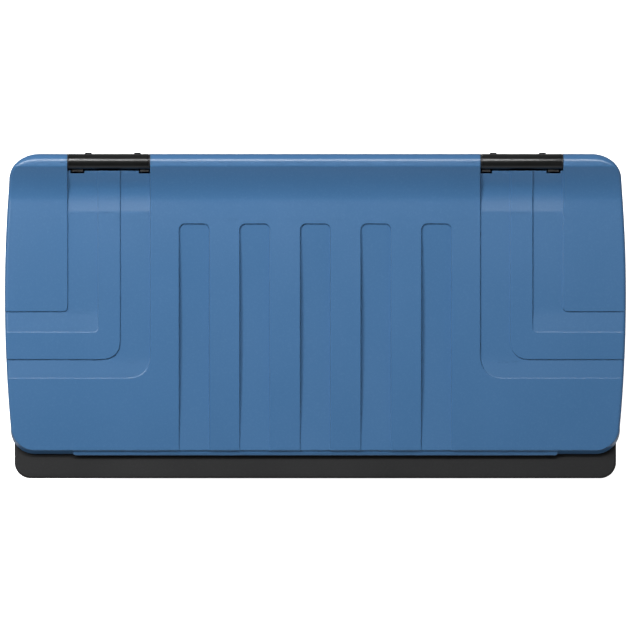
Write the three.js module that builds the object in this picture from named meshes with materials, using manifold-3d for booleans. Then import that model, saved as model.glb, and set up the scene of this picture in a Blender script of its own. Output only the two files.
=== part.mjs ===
// A sandbox with a hinged cover: a dark moulded tub, a blue moulded lid, and two steel hinges at the back.
// Millimetres, +Z up, the front faces -Y, and the origin is under the middle of the object, on the ground.
import * as THREE from "three";
import { mergeVertices } from "three/addons/utils/BufferGeometryUtils.js";
import Module from "manifold-3d";

const wasm = await Module();
wasm.setup();

// ---------- driving dimensions ----------
const GAP = 0.3; // between two pieces that touch
const FAR = 700; // past every side of the object
const OVERRUN = 40; // how far a cutter runs past what it cuts
const BITE = 1; // how far two joined solids reach into each other

const HINGE = { y: 297, z: 445 }; // the axis that the lid turns about, along X
const ROLL_RADIUS = 15; // the rounded rear edge of the lid, and the hinge tubes

const LID = {
  skin: 4,
  halfWidth: 600, // at the widest place of the bowed sides
  widestY: 36,
  bowRadius: 2813,
  front: -261,
  rear: HINGE.y + ROLL_RADIUS,
  bottom: 390,
  frontCorner: 46.5,
  rearCorner: { x: 58, y: 50 },
  edgeRadius: 5,
  crownY: 223, // where the slope of the ridge meets the panel
  crownZ: 430,
  crownDrop: 22, // the panel falls this much on its way to the front edge
  ridgeY: 288, // front edge of the flat strip on top of the ridge
  ridgePower: 1.6,
  cornerWrap: 528, // the skirt comes round the rear corners as far as this
};
const UNDER = LID.bottom - OVERRUN; // below every edge of the lid
const RIB = { count: 5, pitch: 117, width: 59, rear: 177.5, radius: 12, rearDepth: 3.5, frontDepth: 0.8 };
const CHANNEL_DEPTH = 3.5;
// Each L-shaped channel runs forward from a hinge pocket and turns out through the side of the lid.
const CHANNELS = [
  { outerX: 478.5, innerX: 419.5, rearY: 8, frontY: -32.5, outerRadius: 10, innerRadius: 10 },
  { outerX: 377, innerX: 318.3, rearY: -84.5, frontY: -121.5, outerRadius: 38, innerRadius: 48 },
];
const POCKET = { outerX: 478.5, innerX: 318.3, front: 201.5, rear: 281, tubeRadius: 17.5, strapRadius: 22.5 };
// Height of the pocket's floor over its front edge, along Y.
const POCKET_FLOOR = [
  [201.5, 0],
  [212, -3],
  [224, -5.4],
  [235, -6],
  [246, -4],
  [256, 0.5],
  [264, 6],
  [272, 13.5],
  [281, 23],
];
const GRIP = { halfWidth: 469, front: -270.5, bottom: 397.5, top: 403, endRadius: 6 };
const BOSS = { radius: 13, length: 12, bore: 8.3 };

const TUB = {
  wall: 5,
  floor: 8,
  rim: 385,
  rimBottom: 355,
  rimHalfWidth: 582,
  front: -315,
  rear: 303.7,
  rimCorner: 31,
  rimEdge: 8,
  topHalfWidth: 548,
  topFront: -281,
  baseHalfWidth: 518,
  baseFront: -253,
  baseRear: 284,
  bodyCorner: 60,
  footHeight: 12,
};
const OPENING = { halfWidth: 520, front: -235, corner: 45, belowPanel: 13.5 };
const SEAL = { width: 8, height: 5, overhang: 1.5 };
const FOOT = { x: 420, frontY: -185, rearY: 215, length: 130, width: 60, corner: 14 };
const DRAIN = { radius: 6, x: 300, frontY: -185, rearY: 215 };
const SWAGE = { depth: 5, bottom: 55, top: 320, width: 59, radius: 12 };
const SIDE_SWAGE = { width: 110, ys: [-110, 130] };

const TUBE = { outer: 475.6, inner: 321.2, bore: 6.3 };
const PLATE = { front: 304, rear: 308, bottom: 376, top: 431, corner: 6 };
const STRAP = { outerRadius: 19.5, fromDegrees: 178, toDegrees: 312, sideRoom: 3 };
const STRAPS = [
  [448.5, 469.8],
  [321.5, 338],
];
const PIN = { radius: 6, outerEnd: 508, innerEnd: 291, headRadius: 9, headLength: 5 };
const GROOVE = { x: 504, width: 1.6, radius: 4.8 }; // near the outer end of the pin
const BUSH = { outerRadius: 8, innerRadius: 6.3, flangeRadius: 11, flange: 1.5 };
const CLIP = { innerRadius: 5.1, outerRadius: 9.5, thickness: 1, mouthDegrees: 70 };
const BOLT = { z: 399, xs: [344, 439], radius: 4, hole: 4.5, flats: 13, head: 5.1, tip: 286 };
const WASHER = { radius: 8, thickness: 1.3 };
const NUT = { flats: 13, height: 6.5 };

// ---------- materials ----------
const blueMoulding = () => new THREE.MeshStandardMaterial({ color: 0x44719f, roughness: 0.5, metalness: 0 });
const darkMoulding = () => new THREE.MeshStandardMaterial({ color: 0x37373a, roughness: 0.6, metalness: 0 });
const blackRubber = () => new THREE.MeshStandardMaterial({ color: 0x161616, roughness: 0.85, metalness: 0 });
const blackSteel = () => new THREE.MeshStandardMaterial({ color: 0x121314, roughness: 0.35, metalness: 0.6 });
const plainSteel = () => new THREE.MeshStandardMaterial({ color: 0xa9acb0, roughness: 0.3, metalness: 1 });
const bushPlastic = () => new THREE.MeshStandardMaterial({ color: 0x1b1b1c, roughness: 0.4, metalness: 0 });

// ---------- solids ----------
function solid(geometry) {
  const bare = geometry.clone();
  bare.deleteAttribute("normal");
  bare.deleteAttribute("uv");
  const merged = mergeVertices(bare, 1e-4);
  return new wasm.Manifold(
    new wasm.Mesh({
      numProp: 3,
      vertProperties: new Float32Array(merged.attributes.position.array),
      triVerts: new Uint32Array(merged.index.array),
    }),
  );
}

function joined(solids) {
  return solids.reduce((whole, next) => whole.add(next));
}

function cutFrom(whole, cutters) {
  return cutters.reduce((rest, cutter) => rest.subtract(cutter), whole);
}

function meshOf(name, body, material) {
  const { numProp, vertProperties, triVerts } = body.getMesh();
  const positions = new Float32Array((vertProperties.length / numProp) * 3);
  for (let i = 0; i < positions.length / 3; i++) {
    positions.set(vertProperties.subarray(i * numProp, i * numProp + 3), i * 3);
  }
  const geometry = new THREE.BufferGeometry();
  geometry.setAttribute("position", new THREE.BufferAttribute(positions, 3));
  geometry.setIndex(new THREE.BufferAttribute(new Uint32Array(triVerts), 1));
  geometry.computeVertexNormals();
  const mesh = new THREE.Mesh(geometry, material);
  mesh.name = name;
  return mesh;
}

// A plan outline raised from z0 to z1.
function upright(shape, z0, z1, curveSegments = 4) {
  const geometry = new THREE.ExtrudeGeometry(shape, { depth: z1 - z0, bevelEnabled: false, curveSegments });
  return solid(geometry.translate(0, 0, z0));
}

// A side outline, drawn in Y and Z, carried from x0 to x1.
function sideways(outline, x0, x1) {
  const shape = new THREE.Shape(outline.map(([y, z]) => new THREE.Vector2(y, z)));
  const geometry = new THREE.ExtrudeGeometry(shape, { depth: x1 - x0, bevelEnabled: false });
  const turn = new THREE.Matrix4().makeBasis(
    new THREE.Vector3(0, 1, 0),
    new THREE.Vector3(0, 0, 1),
    new THREE.Vector3(1, 0, 0),
  );
  return solid(geometry.applyMatrix4(turn).translate(x0, 0, 0));
}

// A round bar about the hinge axis.
function axisBar(radius, x0, x1, segments = 24) {
  const geometry = new THREE.CylinderGeometry(radius, radius, x1 - x0, segments).rotateZ(Math.PI / 2);
  return solid(geometry.translate((x0 + x1) / 2, HINGE.y, HINGE.z));
}

// A round bar along Y, such as a bolt hole.
function crossBar(radius, x, z, y0, y1, segments = 16) {
  const geometry = new THREE.CylinderGeometry(radius, radius, y1 - y0, segments);
  return solid(geometry.translate(x, (y0 + y1) / 2, z));
}

// A hexagon along Y, with its flats upright.
function hexBar(flats, x, z, y0, y1) {
  const corner = flats / Math.sqrt(3);
  return crossBar(corner, x, z, y0, y1, 6);
}

function block(x0, x1, y0, y1, z0, z1) {
  const geometry = new THREE.BoxGeometry(x1 - x0, y1 - y0, z1 - z0);
  return solid(geometry.translate((x0 + x1) / 2, (y0 + y1) / 2, (z0 + z1) / 2));
}

function roundedRectangle(x0, x1, y0, y1, radius) {
  const shape = new THREE.Shape();
  shape.absarc(x1 - radius, y0 + radius, radius, -Math.PI / 2, 0, false);
  shape.absarc(x1 - radius, y1 - radius, radius, 0, Math.PI / 2, false);
  shape.absarc(x0 + radius, y1 - radius, radius, Math.PI / 2, Math.PI, false);
  shape.absarc(x0 + radius, y0 + radius, radius, Math.PI, Math.PI * 1.5, false);
  return shape;
}

// Mirrors an X range to the side given by sign, lowest value first.
function range(sign, a, b) {
  return [sign * a, sign * b].sort((low, high) => low - high);
}

// ---------- the lid ----------
function panelZ(y) {
  const forward = Math.max(0, LID.crownY - y) / (LID.crownY - LID.front);
  return LID.crownZ - LID.crownDrop * forward * forward;
}

function ridgeZ(y) {
  const back = (y - LID.crownY) / (LID.ridgeY - LID.crownY);
  return LID.crownZ + (HINGE.z + ROLL_RADIUS - LID.crownZ) * Math.pow(back, LID.ridgePower);
}

function span(from, to, steps) {
  return Array.from({ length: steps + 1 }, (_, i) => from + ((to - from) * i) / steps);
}

function panelLine(from, to, drop) {
  return span(from, to, 12).map((y) => [y, panelZ(y) - drop]);
}

// The plan outline of the lid, moved inwards by inset.
function lidOutline(inset) {
  const bow = LID.bowRadius - inset;
  const bowX = LID.halfWidth - LID.bowRadius;
  const front = LID.front + inset;
  const rear = LID.rear - inset;
  const frontCorner = LID.frontCorner - inset;
  const rearX = LID.rearCorner.x - inset;
  const rearY = LID.rearCorner.y - inset;
  const frontAngle = Math.asin((front + frontCorner - LID.widestY) / bow);
  const rearAngle = Math.asin((rear - rearY - LID.widestY) / bow);
  const frontX = bowX + bow * Math.cos(frontAngle);
  const backX = bowX + bow * Math.cos(rearAngle);
  const shape = new THREE.Shape();
  shape.absarc(frontX - frontCorner, front + frontCorner, frontCorner, -Math.PI / 2, 0, false);
  shape.absarc(bowX, LID.widestY, bow, frontAngle, rearAngle, false);
  shape.absellipse(backX - rearX, rear - rearY, rearX, rearY, 0, Math.PI / 2, false, 0);
  shape.absellipse(rearX - backX, rear - rearY, rearX, rearY, Math.PI / 2, Math.PI, false, 0);
  shape.absarc(-bowX, LID.widestY, bow, Math.PI - rearAngle, Math.PI - frontAngle, false);
  shape.absarc(frontCorner - frontX, front + frontCorner, frontCorner, Math.PI, Math.PI * 1.5, false);
  return shape;
}

// The side outline of the lid: front face, crowned panel, slope, flat strip and rear roll.
function lidProfile(inset, bottom) {
  const front = LID.front + inset;
  const roll = ROLL_RADIUS - inset;
  const edge = LID.edgeRadius;
  const middle = edge * (1 - Math.SQRT1_2); // half-way round the edge
  const points = [
    [front, bottom],
    [front, panelZ(front) - inset - edge],
    [front + middle, panelZ(front) - inset - middle],
  ];
  points.push(...panelLine(front + edge, LID.crownY, inset));
  points.push(...span(LID.crownY, LID.ridgeY, 9).slice(1).map((y) => [y, ridgeZ(y) - inset]));
  for (const degrees of span(90, 0, 8)) {
    const angle = THREE.MathUtils.degToRad(degrees);
    points.push([HINGE.y + roll * Math.cos(angle), HINGE.z + roll * Math.sin(angle)]);
  }
  points.push([LID.rear - inset, bottom]);
  return points.reverse();
}

// The sunk ribs: their floors are straight while the panel is crowned, so they are deepest half-way.
function ribs(grow) {
  const frontFloor = panelZ(LID.front) - RIB.frontDepth;
  const rearFloor = panelZ(RIB.rear) - RIB.rearDepth;
  const slope = (rearFloor - frontFloor) / (RIB.rear - LID.front);
  const floor = (y) => frontFloor + slope * (y - LID.front) - grow;
  const front = LID.front - OVERRUN;
  const rear = RIB.rear + OVERRUN;
  const above = sideways([[rear, FAR], [front, FAR], [front, floor(front)], [rear, floor(rear)]], -FAR, FAR);
  const half = RIB.width / 2 + grow;
  return span(1 - RIB.count, RIB.count - 1, RIB.count - 1).map((step) => {
    const x = (step * RIB.pitch) / 2;
    const plan = roundedRectangle(x - half, x + half, front, RIB.rear + grow, RIB.radius);
    return upright(plan, UNDER, FAR, 2).intersect(above);
  });
}

// A channel's plan outline: down from the pocket, round its bend and out through the side.
function channelPlan(channel, sign, grow) {
  const out = -(channel.outerX + grow);
  const inn = -(channel.innerX - grow);
  const back = channel.rearY + grow;
  const ahead = channel.frontY - grow;
  const tight = channel.outerRadius - grow / 2;
  const wide = channel.innerRadius;
  const shape = new THREE.Shape();
  shape.moveTo(sign * out, POCKET.front);
  shape.lineTo(sign * out, back + tight);
  shape.quadraticCurveTo(sign * out, back, sign * (out - tight), back);
  shape.lineTo(-sign * FAR, back);
  shape.lineTo(-sign * FAR, ahead);
  shape.lineTo(sign * (inn - wide), ahead);
  shape.quadraticCurveTo(sign * inn, ahead, sign * inn, ahead + wide);
  shape.lineTo(sign * inn, POCKET.front);
  return shape;
}

function channels(sign, grow) {
  const line = panelLine(POCKET.front, LID.front, CHANNEL_DEPTH + grow);
  const above = sideways([...line, [LID.front, FAR], [POCKET.front, FAR]].reverse(), -FAR, FAR);
  return CHANNELS.map((channel) => {
    const plan = channelPlan(channel, sign, grow);
    return upright(plan, UNDER, FAR, 6).intersect(above);
  });
}

// The floor of a hinge pocket, lowered by drop along its own normal.
function pocketLine(lift, drop) {
  const base = panelZ(POCKET.front) - CHANNEL_DEPTH + lift;
  const curve = new THREE.SplineCurve(POCKET_FLOOR.map(([y, z]) => new THREE.Vector2(y, base + z)));
  return curve.getPoints(24).map((point, i) => {
    const tangent = curve.getTangent(i / 24);
    return [point.x + tangent.y * drop, point.y - tangent.x * drop];
  });
}

function pocketSpace(x0, x1, lift) {
  const line = pocketLine(lift, 0);
  const behind = [[POCKET.rear, UNDER], [FAR, UNDER], [FAR, FAR]];
  return sideways([...line, ...behind, [POCKET.front, FAR]], x0, x1);
}

function pockets(sign) {
  const floors = [
    [POCKET.outerX, CHANNELS[0].innerX, 0],
    [CHANNELS[0].innerX, CHANNELS[1].outerX, CHANNEL_DEPTH],
    [CHANNELS[1].outerX, POCKET.innerX, 0],
  ];
  const spaces = floors.map(([a, b, lift]) => pocketSpace(...range(sign, a, b), lift));
  spaces.push(axisBar(POCKET.tubeRadius, ...range(sign, POCKET.outerX, POCKET.innerX)));
  for (const [a, b] of STRAPS) {
    const near = Math.max(a - STRAP.sideRoom, POCKET.innerX);
    spaces.push(axisBar(POCKET.strapRadius, ...range(sign, near, b + STRAP.sideRoom)));
  }
  return spaces;
}

// What the hollow of the lid leaves standing round a pocket: its skin and its two side walls.
function pocketCasing(sign) {
  const underside = pocketLine(0, LID.skin).filter(([y]) => y < POCKET.rear);
  const wallFoot = HINGE.z - ROLL_RADIUS;
  const rear = [[POCKET.rear, wallFoot], [FAR, wallFoot], [FAR, FAR], [underside[0][0], FAR]];
  const [x0, x1] = range(sign, POCKET.outerX + LID.skin, POCKET.innerX - LID.skin);
  return sideways([...underside, ...rear], x0, x1);
}

// The hollow under the skin of the lid.
function lidHollow() {
  const half = LID.cornerWrap + LID.skin;
  const side = sideways(lidProfile(LID.skin, UNDER), -FAR, FAR);
  const inside = side.intersect(upright(lidOutline(LID.skin), UNDER, FAR));
  const ahead = inside.intersect(block(-FAR, FAR, -FAR, HINGE.y, UNDER, FAR));
  const corners = inside.subtract(block(-half, half, 0, FAR, UNDER, FAR));
  const rollHollow = axisBar(ROLL_RADIUS - LID.skin, -half, half);
  const hollow = joined([ahead, corners, rollHollow]);
  const kept = [...ribs(LID.skin)];
  for (const sign of [-1, 1]) {
    kept.push(...channels(sign, LID.skin), pocketCasing(sign));
  }
  return cutFrom(hollow, kept);
}

// Under the roll the lid is open at the back, so that it clears the tub's rear wall as it turns.
function rearClearance() {
  const half = LID.cornerWrap;
  const behind = block(-half, half, HINGE.y, FAR, UNDER, HINGE.z);
  return behind.subtract(axisBar(ROLL_RADIUS, -FAR, FAR));
}

function grip() {
  const { halfWidth, front, bottom, top, endRadius } = GRIP;
  const plan = roundedRectangle(-halfWidth, halfWidth, front, LID.front + LID.skin, endRadius);
  return upright(plan, bottom, top);
}

function bosses(sign) {
  const outer = POCKET.outerX + LID.skin;
  const inner = POCKET.innerX - LID.skin;
  return [
    axisBar(BOSS.radius, ...range(sign, outer - BITE, outer + BOSS.length)),
    axisBar(BOSS.radius, ...range(sign, inner + BITE, inner - BOSS.length)),
  ];
}

function pinBore(sign) {
  return axisBar(BOSS.bore, ...range(sign, POCKET.outerX + OVERRUN, POCKET.innerX - OVERRUN), 20);
}

function lid() {
  const side = sideways(lidProfile(0, LID.bottom), -FAR, FAR);
  const body = side.intersect(upright(lidOutline(0), LID.bottom, FAR));
  const sunk = [...ribs(0), rearClearance()];
  for (const sign of [-1, 1]) {
    sunk.push(...channels(sign, 0), ...pockets(sign));
  }
  const shell = cutFrom(body, sunk).subtract(lidHollow());
  const whole = joined([shell, grip(), ...bosses(-1), ...bosses(1)]);
  return cutFrom(whole, [pinBore(-1), pinBore(1)]);
}

// ---------- the tub ----------
// A rounded box whose foot is drawn in, as a moulding with draft is.
function drafted(top, foot, corner, z0, z1) {
  const shape = roundedRectangle(-top.x, top.x, top.front, top.rear, corner);
  const options = { depth: z1 - z0, bevelEnabled: false, curveSegments: 3 };
  const geometry = new THREE.ExtrudeGeometry(shape, options);
  const position = geometry.attributes.position;
  for (let i = 0; i < position.count; i++) {
    if (position.getZ(i) < (z1 - z0) / 2) {
      const along = (position.getY(i) - top.front) / (top.rear - top.front);
      position.setX(i, (position.getX(i) * foot.x) / top.x);
      position.setY(i, foot.front + along * (foot.rear - foot.front));
    }
  }
  return solid(geometry.translate(0, 0, z0));
}

function tubBody(inset, z0) {
  const top = { x: TUB.topHalfWidth - inset, front: TUB.topFront + inset, rear: TUB.rear - inset };
  const foot = { x: TUB.baseHalfWidth - inset, front: TUB.baseFront + inset, rear: TUB.baseRear - inset };
  return drafted(top, foot, TUB.bodyCorner - inset, z0, TUB.rimBottom + BITE);
}

function rim() {
  const edge = TUB.rimEdge;
  const x = TUB.rimHalfWidth - edge;
  const shape = roundedRectangle(-x, x, TUB.front + edge, TUB.rear - edge, TUB.rimCorner - edge);
  const depth = TUB.rim - TUB.rimBottom - edge;
  const options = { depth, bevelThickness: edge, bevelSize: edge, bevelSegments: 3, curveSegments: 3 };
  const geometry = new THREE.ExtrudeGeometry(shape, options).translate(0, 0, TUB.rimBottom);
  return solid(geometry).subtract(block(-FAR, FAR, -FAR, FAR, 0, TUB.rimBottom));
}

// The raised edge round the opening follows the panel of the lid above it.
function coaming() {
  const top = panelLine(TUB.front, TUB.rear, OPENING.belowPanel);
  const under = sideways([...top, [TUB.rear, 0], [TUB.front, 0]].reverse(), -FAR, FAR);
  const { halfWidth, front, corner } = OPENING;
  const plan = roundedRectangle(-halfWidth, halfWidth, front, TUB.rear, corner);
  return upright(plan, TUB.rimBottom, FAR).intersect(under);
}

// Upright sunk panels in the walls, cut square to each wall's slope.
function swages(grow) {
  const height = SWAGE.top - SWAGE.bottom + 2 * grow;
  const middle = (SWAGE.top + SWAGE.bottom) / 2;
  const rise = TUB.rimBottom - TUB.footHeight;
  const share = (middle - TUB.footHeight) / rise;
  const sunkPanel = (width) => {
    const half = width / 2 + grow;
    const plan = roundedRectangle(-half, half, -height / 2, height / 2, SWAGE.radius);
    const options = { depth: OVERRUN, bevelEnabled: false, curveSegments: 1 };
    const geometry = new THREE.ExtrudeGeometry(plan, options);
    return geometry.translate(0, 0, -SWAGE.depth - grow).rotateX(Math.PI / 2);
  };
  const cutters = [];
  const place = (geometry, tilt, turn, x, y) => {
    cutters.push(solid(geometry.rotateX(tilt).rotateZ(turn).translate(x, y, middle)));
  };
  const frontY = TUB.baseFront + share * (TUB.topFront - TUB.baseFront);
  const rearY = TUB.baseRear + share * (TUB.rear - TUB.baseRear);
  const sideX = TUB.baseHalfWidth + share * (TUB.topHalfWidth - TUB.baseHalfWidth);
  const frontTilt = Math.atan((TUB.baseFront - TUB.topFront) / rise);
  const rearTilt = Math.atan((TUB.rear - TUB.baseRear) / rise);
  const sideTilt = Math.atan((TUB.topHalfWidth - TUB.baseHalfWidth) / rise);
  for (const step of span(1 - RIB.count, RIB.count - 1, RIB.count - 1)) {
    const x = (step * RIB.pitch) / 2;
    place(sunkPanel(SWAGE.width), frontTilt, 0, x, frontY);
    place(sunkPanel(SWAGE.width), rearTilt, Math.PI, x, rearY);
  }
  for (const y of SIDE_SWAGE.ys) {
    place(sunkPanel(SIDE_SWAGE.width), sideTilt, Math.PI / 2, sideX, y);
    place(sunkPanel(SIDE_SWAGE.width), sideTilt, -Math.PI / 2, -sideX, y);
  }
  return cutters;
}

function rimUnderside() {
  const x = TUB.rimHalfWidth - TUB.wall;
  const top = TUB.rim - TUB.wall;
  const lip = roundedRectangle(-x, x, TUB.front + TUB.wall, TUB.rear - TUB.wall, TUB.rimCorner - TUB.wall);
  const outside = upright(lip, TUB.rimBottom - BITE, top);
  const half = TUB.topHalfWidth;
  const body = roundedRectangle(-half, half, TUB.topFront, TUB.rear + BITE, TUB.bodyCorner);
  return outside.subtract(upright(body, 0, FAR));
}

function tubHollow() {
  const wall = TUB.wall;
  const below = cutFrom(tubBody(wall, TUB.footHeight + TUB.floor), swages(wall));
  const half = TUB.topHalfWidth - wall;
  const corner = TUB.bodyCorner - wall;
  const shelf = roundedRectangle(-half, half, TUB.topFront + wall, TUB.rear - wall, corner);
  const mouth = OPENING.halfWidth - wall;
  const mouthFront = OPENING.front + wall;
  const throat = roundedRectangle(-mouth, mouth, mouthFront, TUB.rear - wall, OPENING.corner - wall);
  const underRim = upright(shelf, TUB.rimBottom, TUB.rim - wall);
  return joined([below, underRim, upright(throat, TUB.rimBottom, FAR)]);
}

function feet() {
  const result = [];
  for (const x of [-FOOT.x, FOOT.x]) {
    for (const y of [FOOT.frontY, FOOT.rearY]) {
      const dx = FOOT.length / 2;
      const dy = FOOT.width / 2;
      const plan = roundedRectangle(x - dx, x + dx, y - dy, y + dy, FOOT.corner);
      result.push(upright(plan, 0, TUB.footHeight + BITE, 2));
    }
  }
  return result;
}

function drains() {
  const result = [];
  for (const x of [-DRAIN.x, DRAIN.x]) {
    for (const y of [DRAIN.frontY, DRAIN.rearY]) {
      const geometry = new THREE.CylinderGeometry(DRAIN.radius, DRAIN.radius, 2 * OVERRUN, 12);
      result.push(solid(geometry.rotateX(Math.PI / 2).translate(x, y, TUB.footHeight)));
    }
  }
  return result;
}

function boltHoles(y0, y1) {
  return BOLT.xs.flatMap((x) => [-x, x].map((side) => crossBar(BOLT.hole, side, BOLT.z, y0, y1)));
}

function tub() {
  const outside = joined([cutFrom(tubBody(0, TUB.footHeight), swages(0)), rim(), coaming(), ...feet()]);
  const holes = boltHoles(TUB.rear - OVERRUN, TUB.rear + OVERRUN);
  const cutters = [tubHollow(), rimUnderside(), ...drains(), ...holes];
  return cutFrom(outside, cutters);
}

// The rubber strip on top of the raised edge.
function lidSeal() {
  const { width, height, overhang } = SEAL;
  const outX = OPENING.halfWidth + overhang;
  const inX = outX - width;
  const front = OPENING.front - overhang;
  const outer = roundedRectangle(-outX, outX, front, TUB.rear, OPENING.corner + overhang);
  const inner = roundedRectangle(-inX, inX, front + width, TUB.rear - width, OPENING.corner - width);
  const ring = upright(outer, TUB.rim, FAR).subtract(upright(inner, 0, 2 * FAR));
  const low = panelLine(front - OVERRUN, TUB.rear + OVERRUN, OPENING.belowPanel - GAP);
  const high = panelLine(front - OVERRUN, TUB.rear + OVERRUN, OPENING.belowPanel - GAP - height);
  return ring.intersect(sideways([...low, ...high.reverse()], -FAR, FAR));
}

// ---------- the hinges ----------
function strap(x0, x1) {
  const inner = ROLL_RADIUS + GAP;
  const arc = (radius, angles) =>
    angles.map((degrees) => {
      const angle = THREE.MathUtils.degToRad(degrees);
      return [HINGE.y + radius * Math.cos(angle), HINGE.z + radius * Math.sin(angle)];
    });
  const out = arc(STRAP.outerRadius, span(STRAP.fromDegrees, STRAP.toDegrees, 14));
  const back = arc(inner, span(STRAP.toDegrees, STRAP.fromDegrees, 14));
  return sideways([...out, ...back], x0, x1);
}

// Plate on the tub's rear wall, with two straps that carry the tube.
function hingeBracket(sign) {
  const { front, rear, bottom, top, corner } = PLATE;
  const [x0, x1] = range(sign, TUBE.outer, TUBE.inner);
  const plan = roundedRectangle(x0, x1, bottom, top, corner);
  const depth = rear - front;
  const geometry = new THREE.ExtrudeGeometry(plan, { depth, bevelEnabled: false, curveSegments: 2 });
  const plate = solid(geometry.rotateX(Math.PI / 2).translate(0, rear, 0));
  const straps = STRAPS.map(([a, b]) => strap(...range(sign, a, b)));
  const room = axisBar(ROLL_RADIUS + GAP, -FAR, FAR);
  return cutFrom(joined([plate, ...straps]), [room, ...boltHoles(front - OVERRUN, rear + OVERRUN)]);
}

function hingeTube(sign) {
  const [x0, x1] = range(sign, TUBE.outer, TUBE.inner);
  return axisBar(ROLL_RADIUS, x0, x1, 32).subtract(axisBar(TUBE.bore, -FAR, FAR, 20));
}

function hingePin(sign) {
  const { outerEnd, innerEnd, radius, headRadius, headLength } = PIN;
  const shank = axisBar(radius, ...range(sign, outerEnd, innerEnd), 20);
  const head = axisBar(headRadius, ...range(sign, innerEnd, innerEnd - headLength), 20);
  const [x0, x1] = range(sign, GROOVE.x, GROOVE.x - GROOVE.width);
  const ring = axisBar(headRadius, x0, x1, 20).subtract(axisBar(GROOVE.radius, -FAR, FAR, 20));
  return shank.add(head).subtract(ring);
}

// A flanged bush in a boss of the lid. Its barrel points away from the tube.
function hingeBush(sign, end) {
  const outerSide = end === "outer";
  const wall = outerSide ? POCKET.outerX : POCKET.innerX;
  const away = outerSide ? 1 : -1;
  const face = wall - away * GAP;
  const flange = axisBar(BUSH.flangeRadius, ...range(sign, face, face - away * BUSH.flange), 20);
  const barrel = axisBar(BUSH.outerRadius, ...range(sign, face, wall + away * (LID.skin + BOSS.length)), 20);
  return flange.add(barrel).subtract(axisBar(BUSH.innerRadius, -FAR, FAR, 20));
}

// The open ring that holds the pin.
function pinClip(sign) {
  const half = THREE.MathUtils.degToRad(CLIP.mouthDegrees / 2);
  const shape = new THREE.Shape();
  shape.absarc(0, 0, CLIP.outerRadius, half, Math.PI * 2 - half, false);
  shape.absarc(0, 0, CLIP.innerRadius, Math.PI * 2 - half, half, true);
  const options = { depth: CLIP.thickness, bevelEnabled: false, curveSegments: 8 };
  const geometry = new THREE.ExtrudeGeometry(shape, options).rotateY(Math.PI / 2);
  const start = sign * (GROOVE.x - GROOVE.width / 2) - CLIP.thickness / 2;
  return solid(geometry.translate(start, HINGE.y, HINGE.z));
}

// ---------- the fasteners ----------
const PLATE_WASHER_Y = PLATE.rear + GAP;
const HEAD_Y = PLATE_WASHER_Y + WASHER.thickness + GAP;
const WALL_WASHER_Y = TUB.rear - TUB.wall - GAP - WASHER.thickness;
const NUT_Y = WALL_WASHER_Y - GAP - NUT.height;

function hexBolt(x) {
  const head = hexBar(BOLT.flats, x, BOLT.z, HEAD_Y, HEAD_Y + BOLT.head);
  return head.add(crossBar(BOLT.radius, x, BOLT.z, BOLT.tip, HEAD_Y + BITE));
}

function washer(x, y) {
  const hole = crossBar(BOLT.hole, x, BOLT.z, -FAR, FAR);
  return crossBar(WASHER.radius, x, BOLT.z, y, y + WASHER.thickness, 20).subtract(hole);
}

function nut(x) {
  const hole = crossBar(BOLT.radius + GAP, x, BOLT.z, -FAR, FAR);
  return hexBar(NUT.flats, x, BOLT.z, NUT_Y, NUT_Y + NUT.height).subtract(hole);
}

// ---------- the assembly ----------
const sandbox = new THREE.Group();
sandbox.add(meshOf("tub", tub(), darkMoulding()));
sandbox.add(meshOf("lid_seal", lidSeal(), blackRubber()));
sandbox.add(meshOf("lid", lid(), blueMoulding()));

for (const [side, sign] of [["left", -1], ["right", 1]]) {
  const hinge = new THREE.Group();
  hinge.add(meshOf(`hinge_bracket_${side}`, hingeBracket(sign), blackSteel()));
  hinge.add(meshOf(`hinge_tube_${side}`, hingeTube(sign), blackSteel()));
  hinge.add(meshOf(`hinge_pin_${side}`, hingePin(sign), plainSteel()));
  hinge.add(meshOf(`pin_clip_${side}`, pinClip(sign), plainSteel()));
  for (const end of ["outer", "inner"]) {
    hinge.add(meshOf(`hinge_bush_${side}_${end}`, hingeBush(sign, end), bushPlastic()));
  }
  for (const [place, x] of [["inner", BOLT.xs[0]], ["outer", BOLT.xs[1]]]) {
    hinge.add(meshOf(`hinge_bolt_${side}_${place}`, hexBolt(sign * x), blackSteel()));
    hinge.add(meshOf(`plate_washer_${side}_${place}`, washer(sign * x, PLATE_WASHER_Y), blackSteel()));
    hinge.add(meshOf(`wall_washer_${side}_${place}`, washer(sign * x, WALL_WASHER_Y), plainSteel()));
    hinge.add(meshOf(`hinge_nut_${side}_${place}`, nut(sign * x), plainSteel()));
  }
  sandbox.add(hinge);
}

export default sandbox;
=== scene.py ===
"""A sandbox with a hinged cover: blue moulded lid, dark moulded tub and two black steel hinges at the back.

Shapes are worked out in millimetres, in the frame of the CAD model. A mesh is made from them in metres.
"""

import math

import bmesh
import bpy
import numpy as np
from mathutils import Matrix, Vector
from mathutils.geometry import delaunay_2d_cdt


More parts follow.
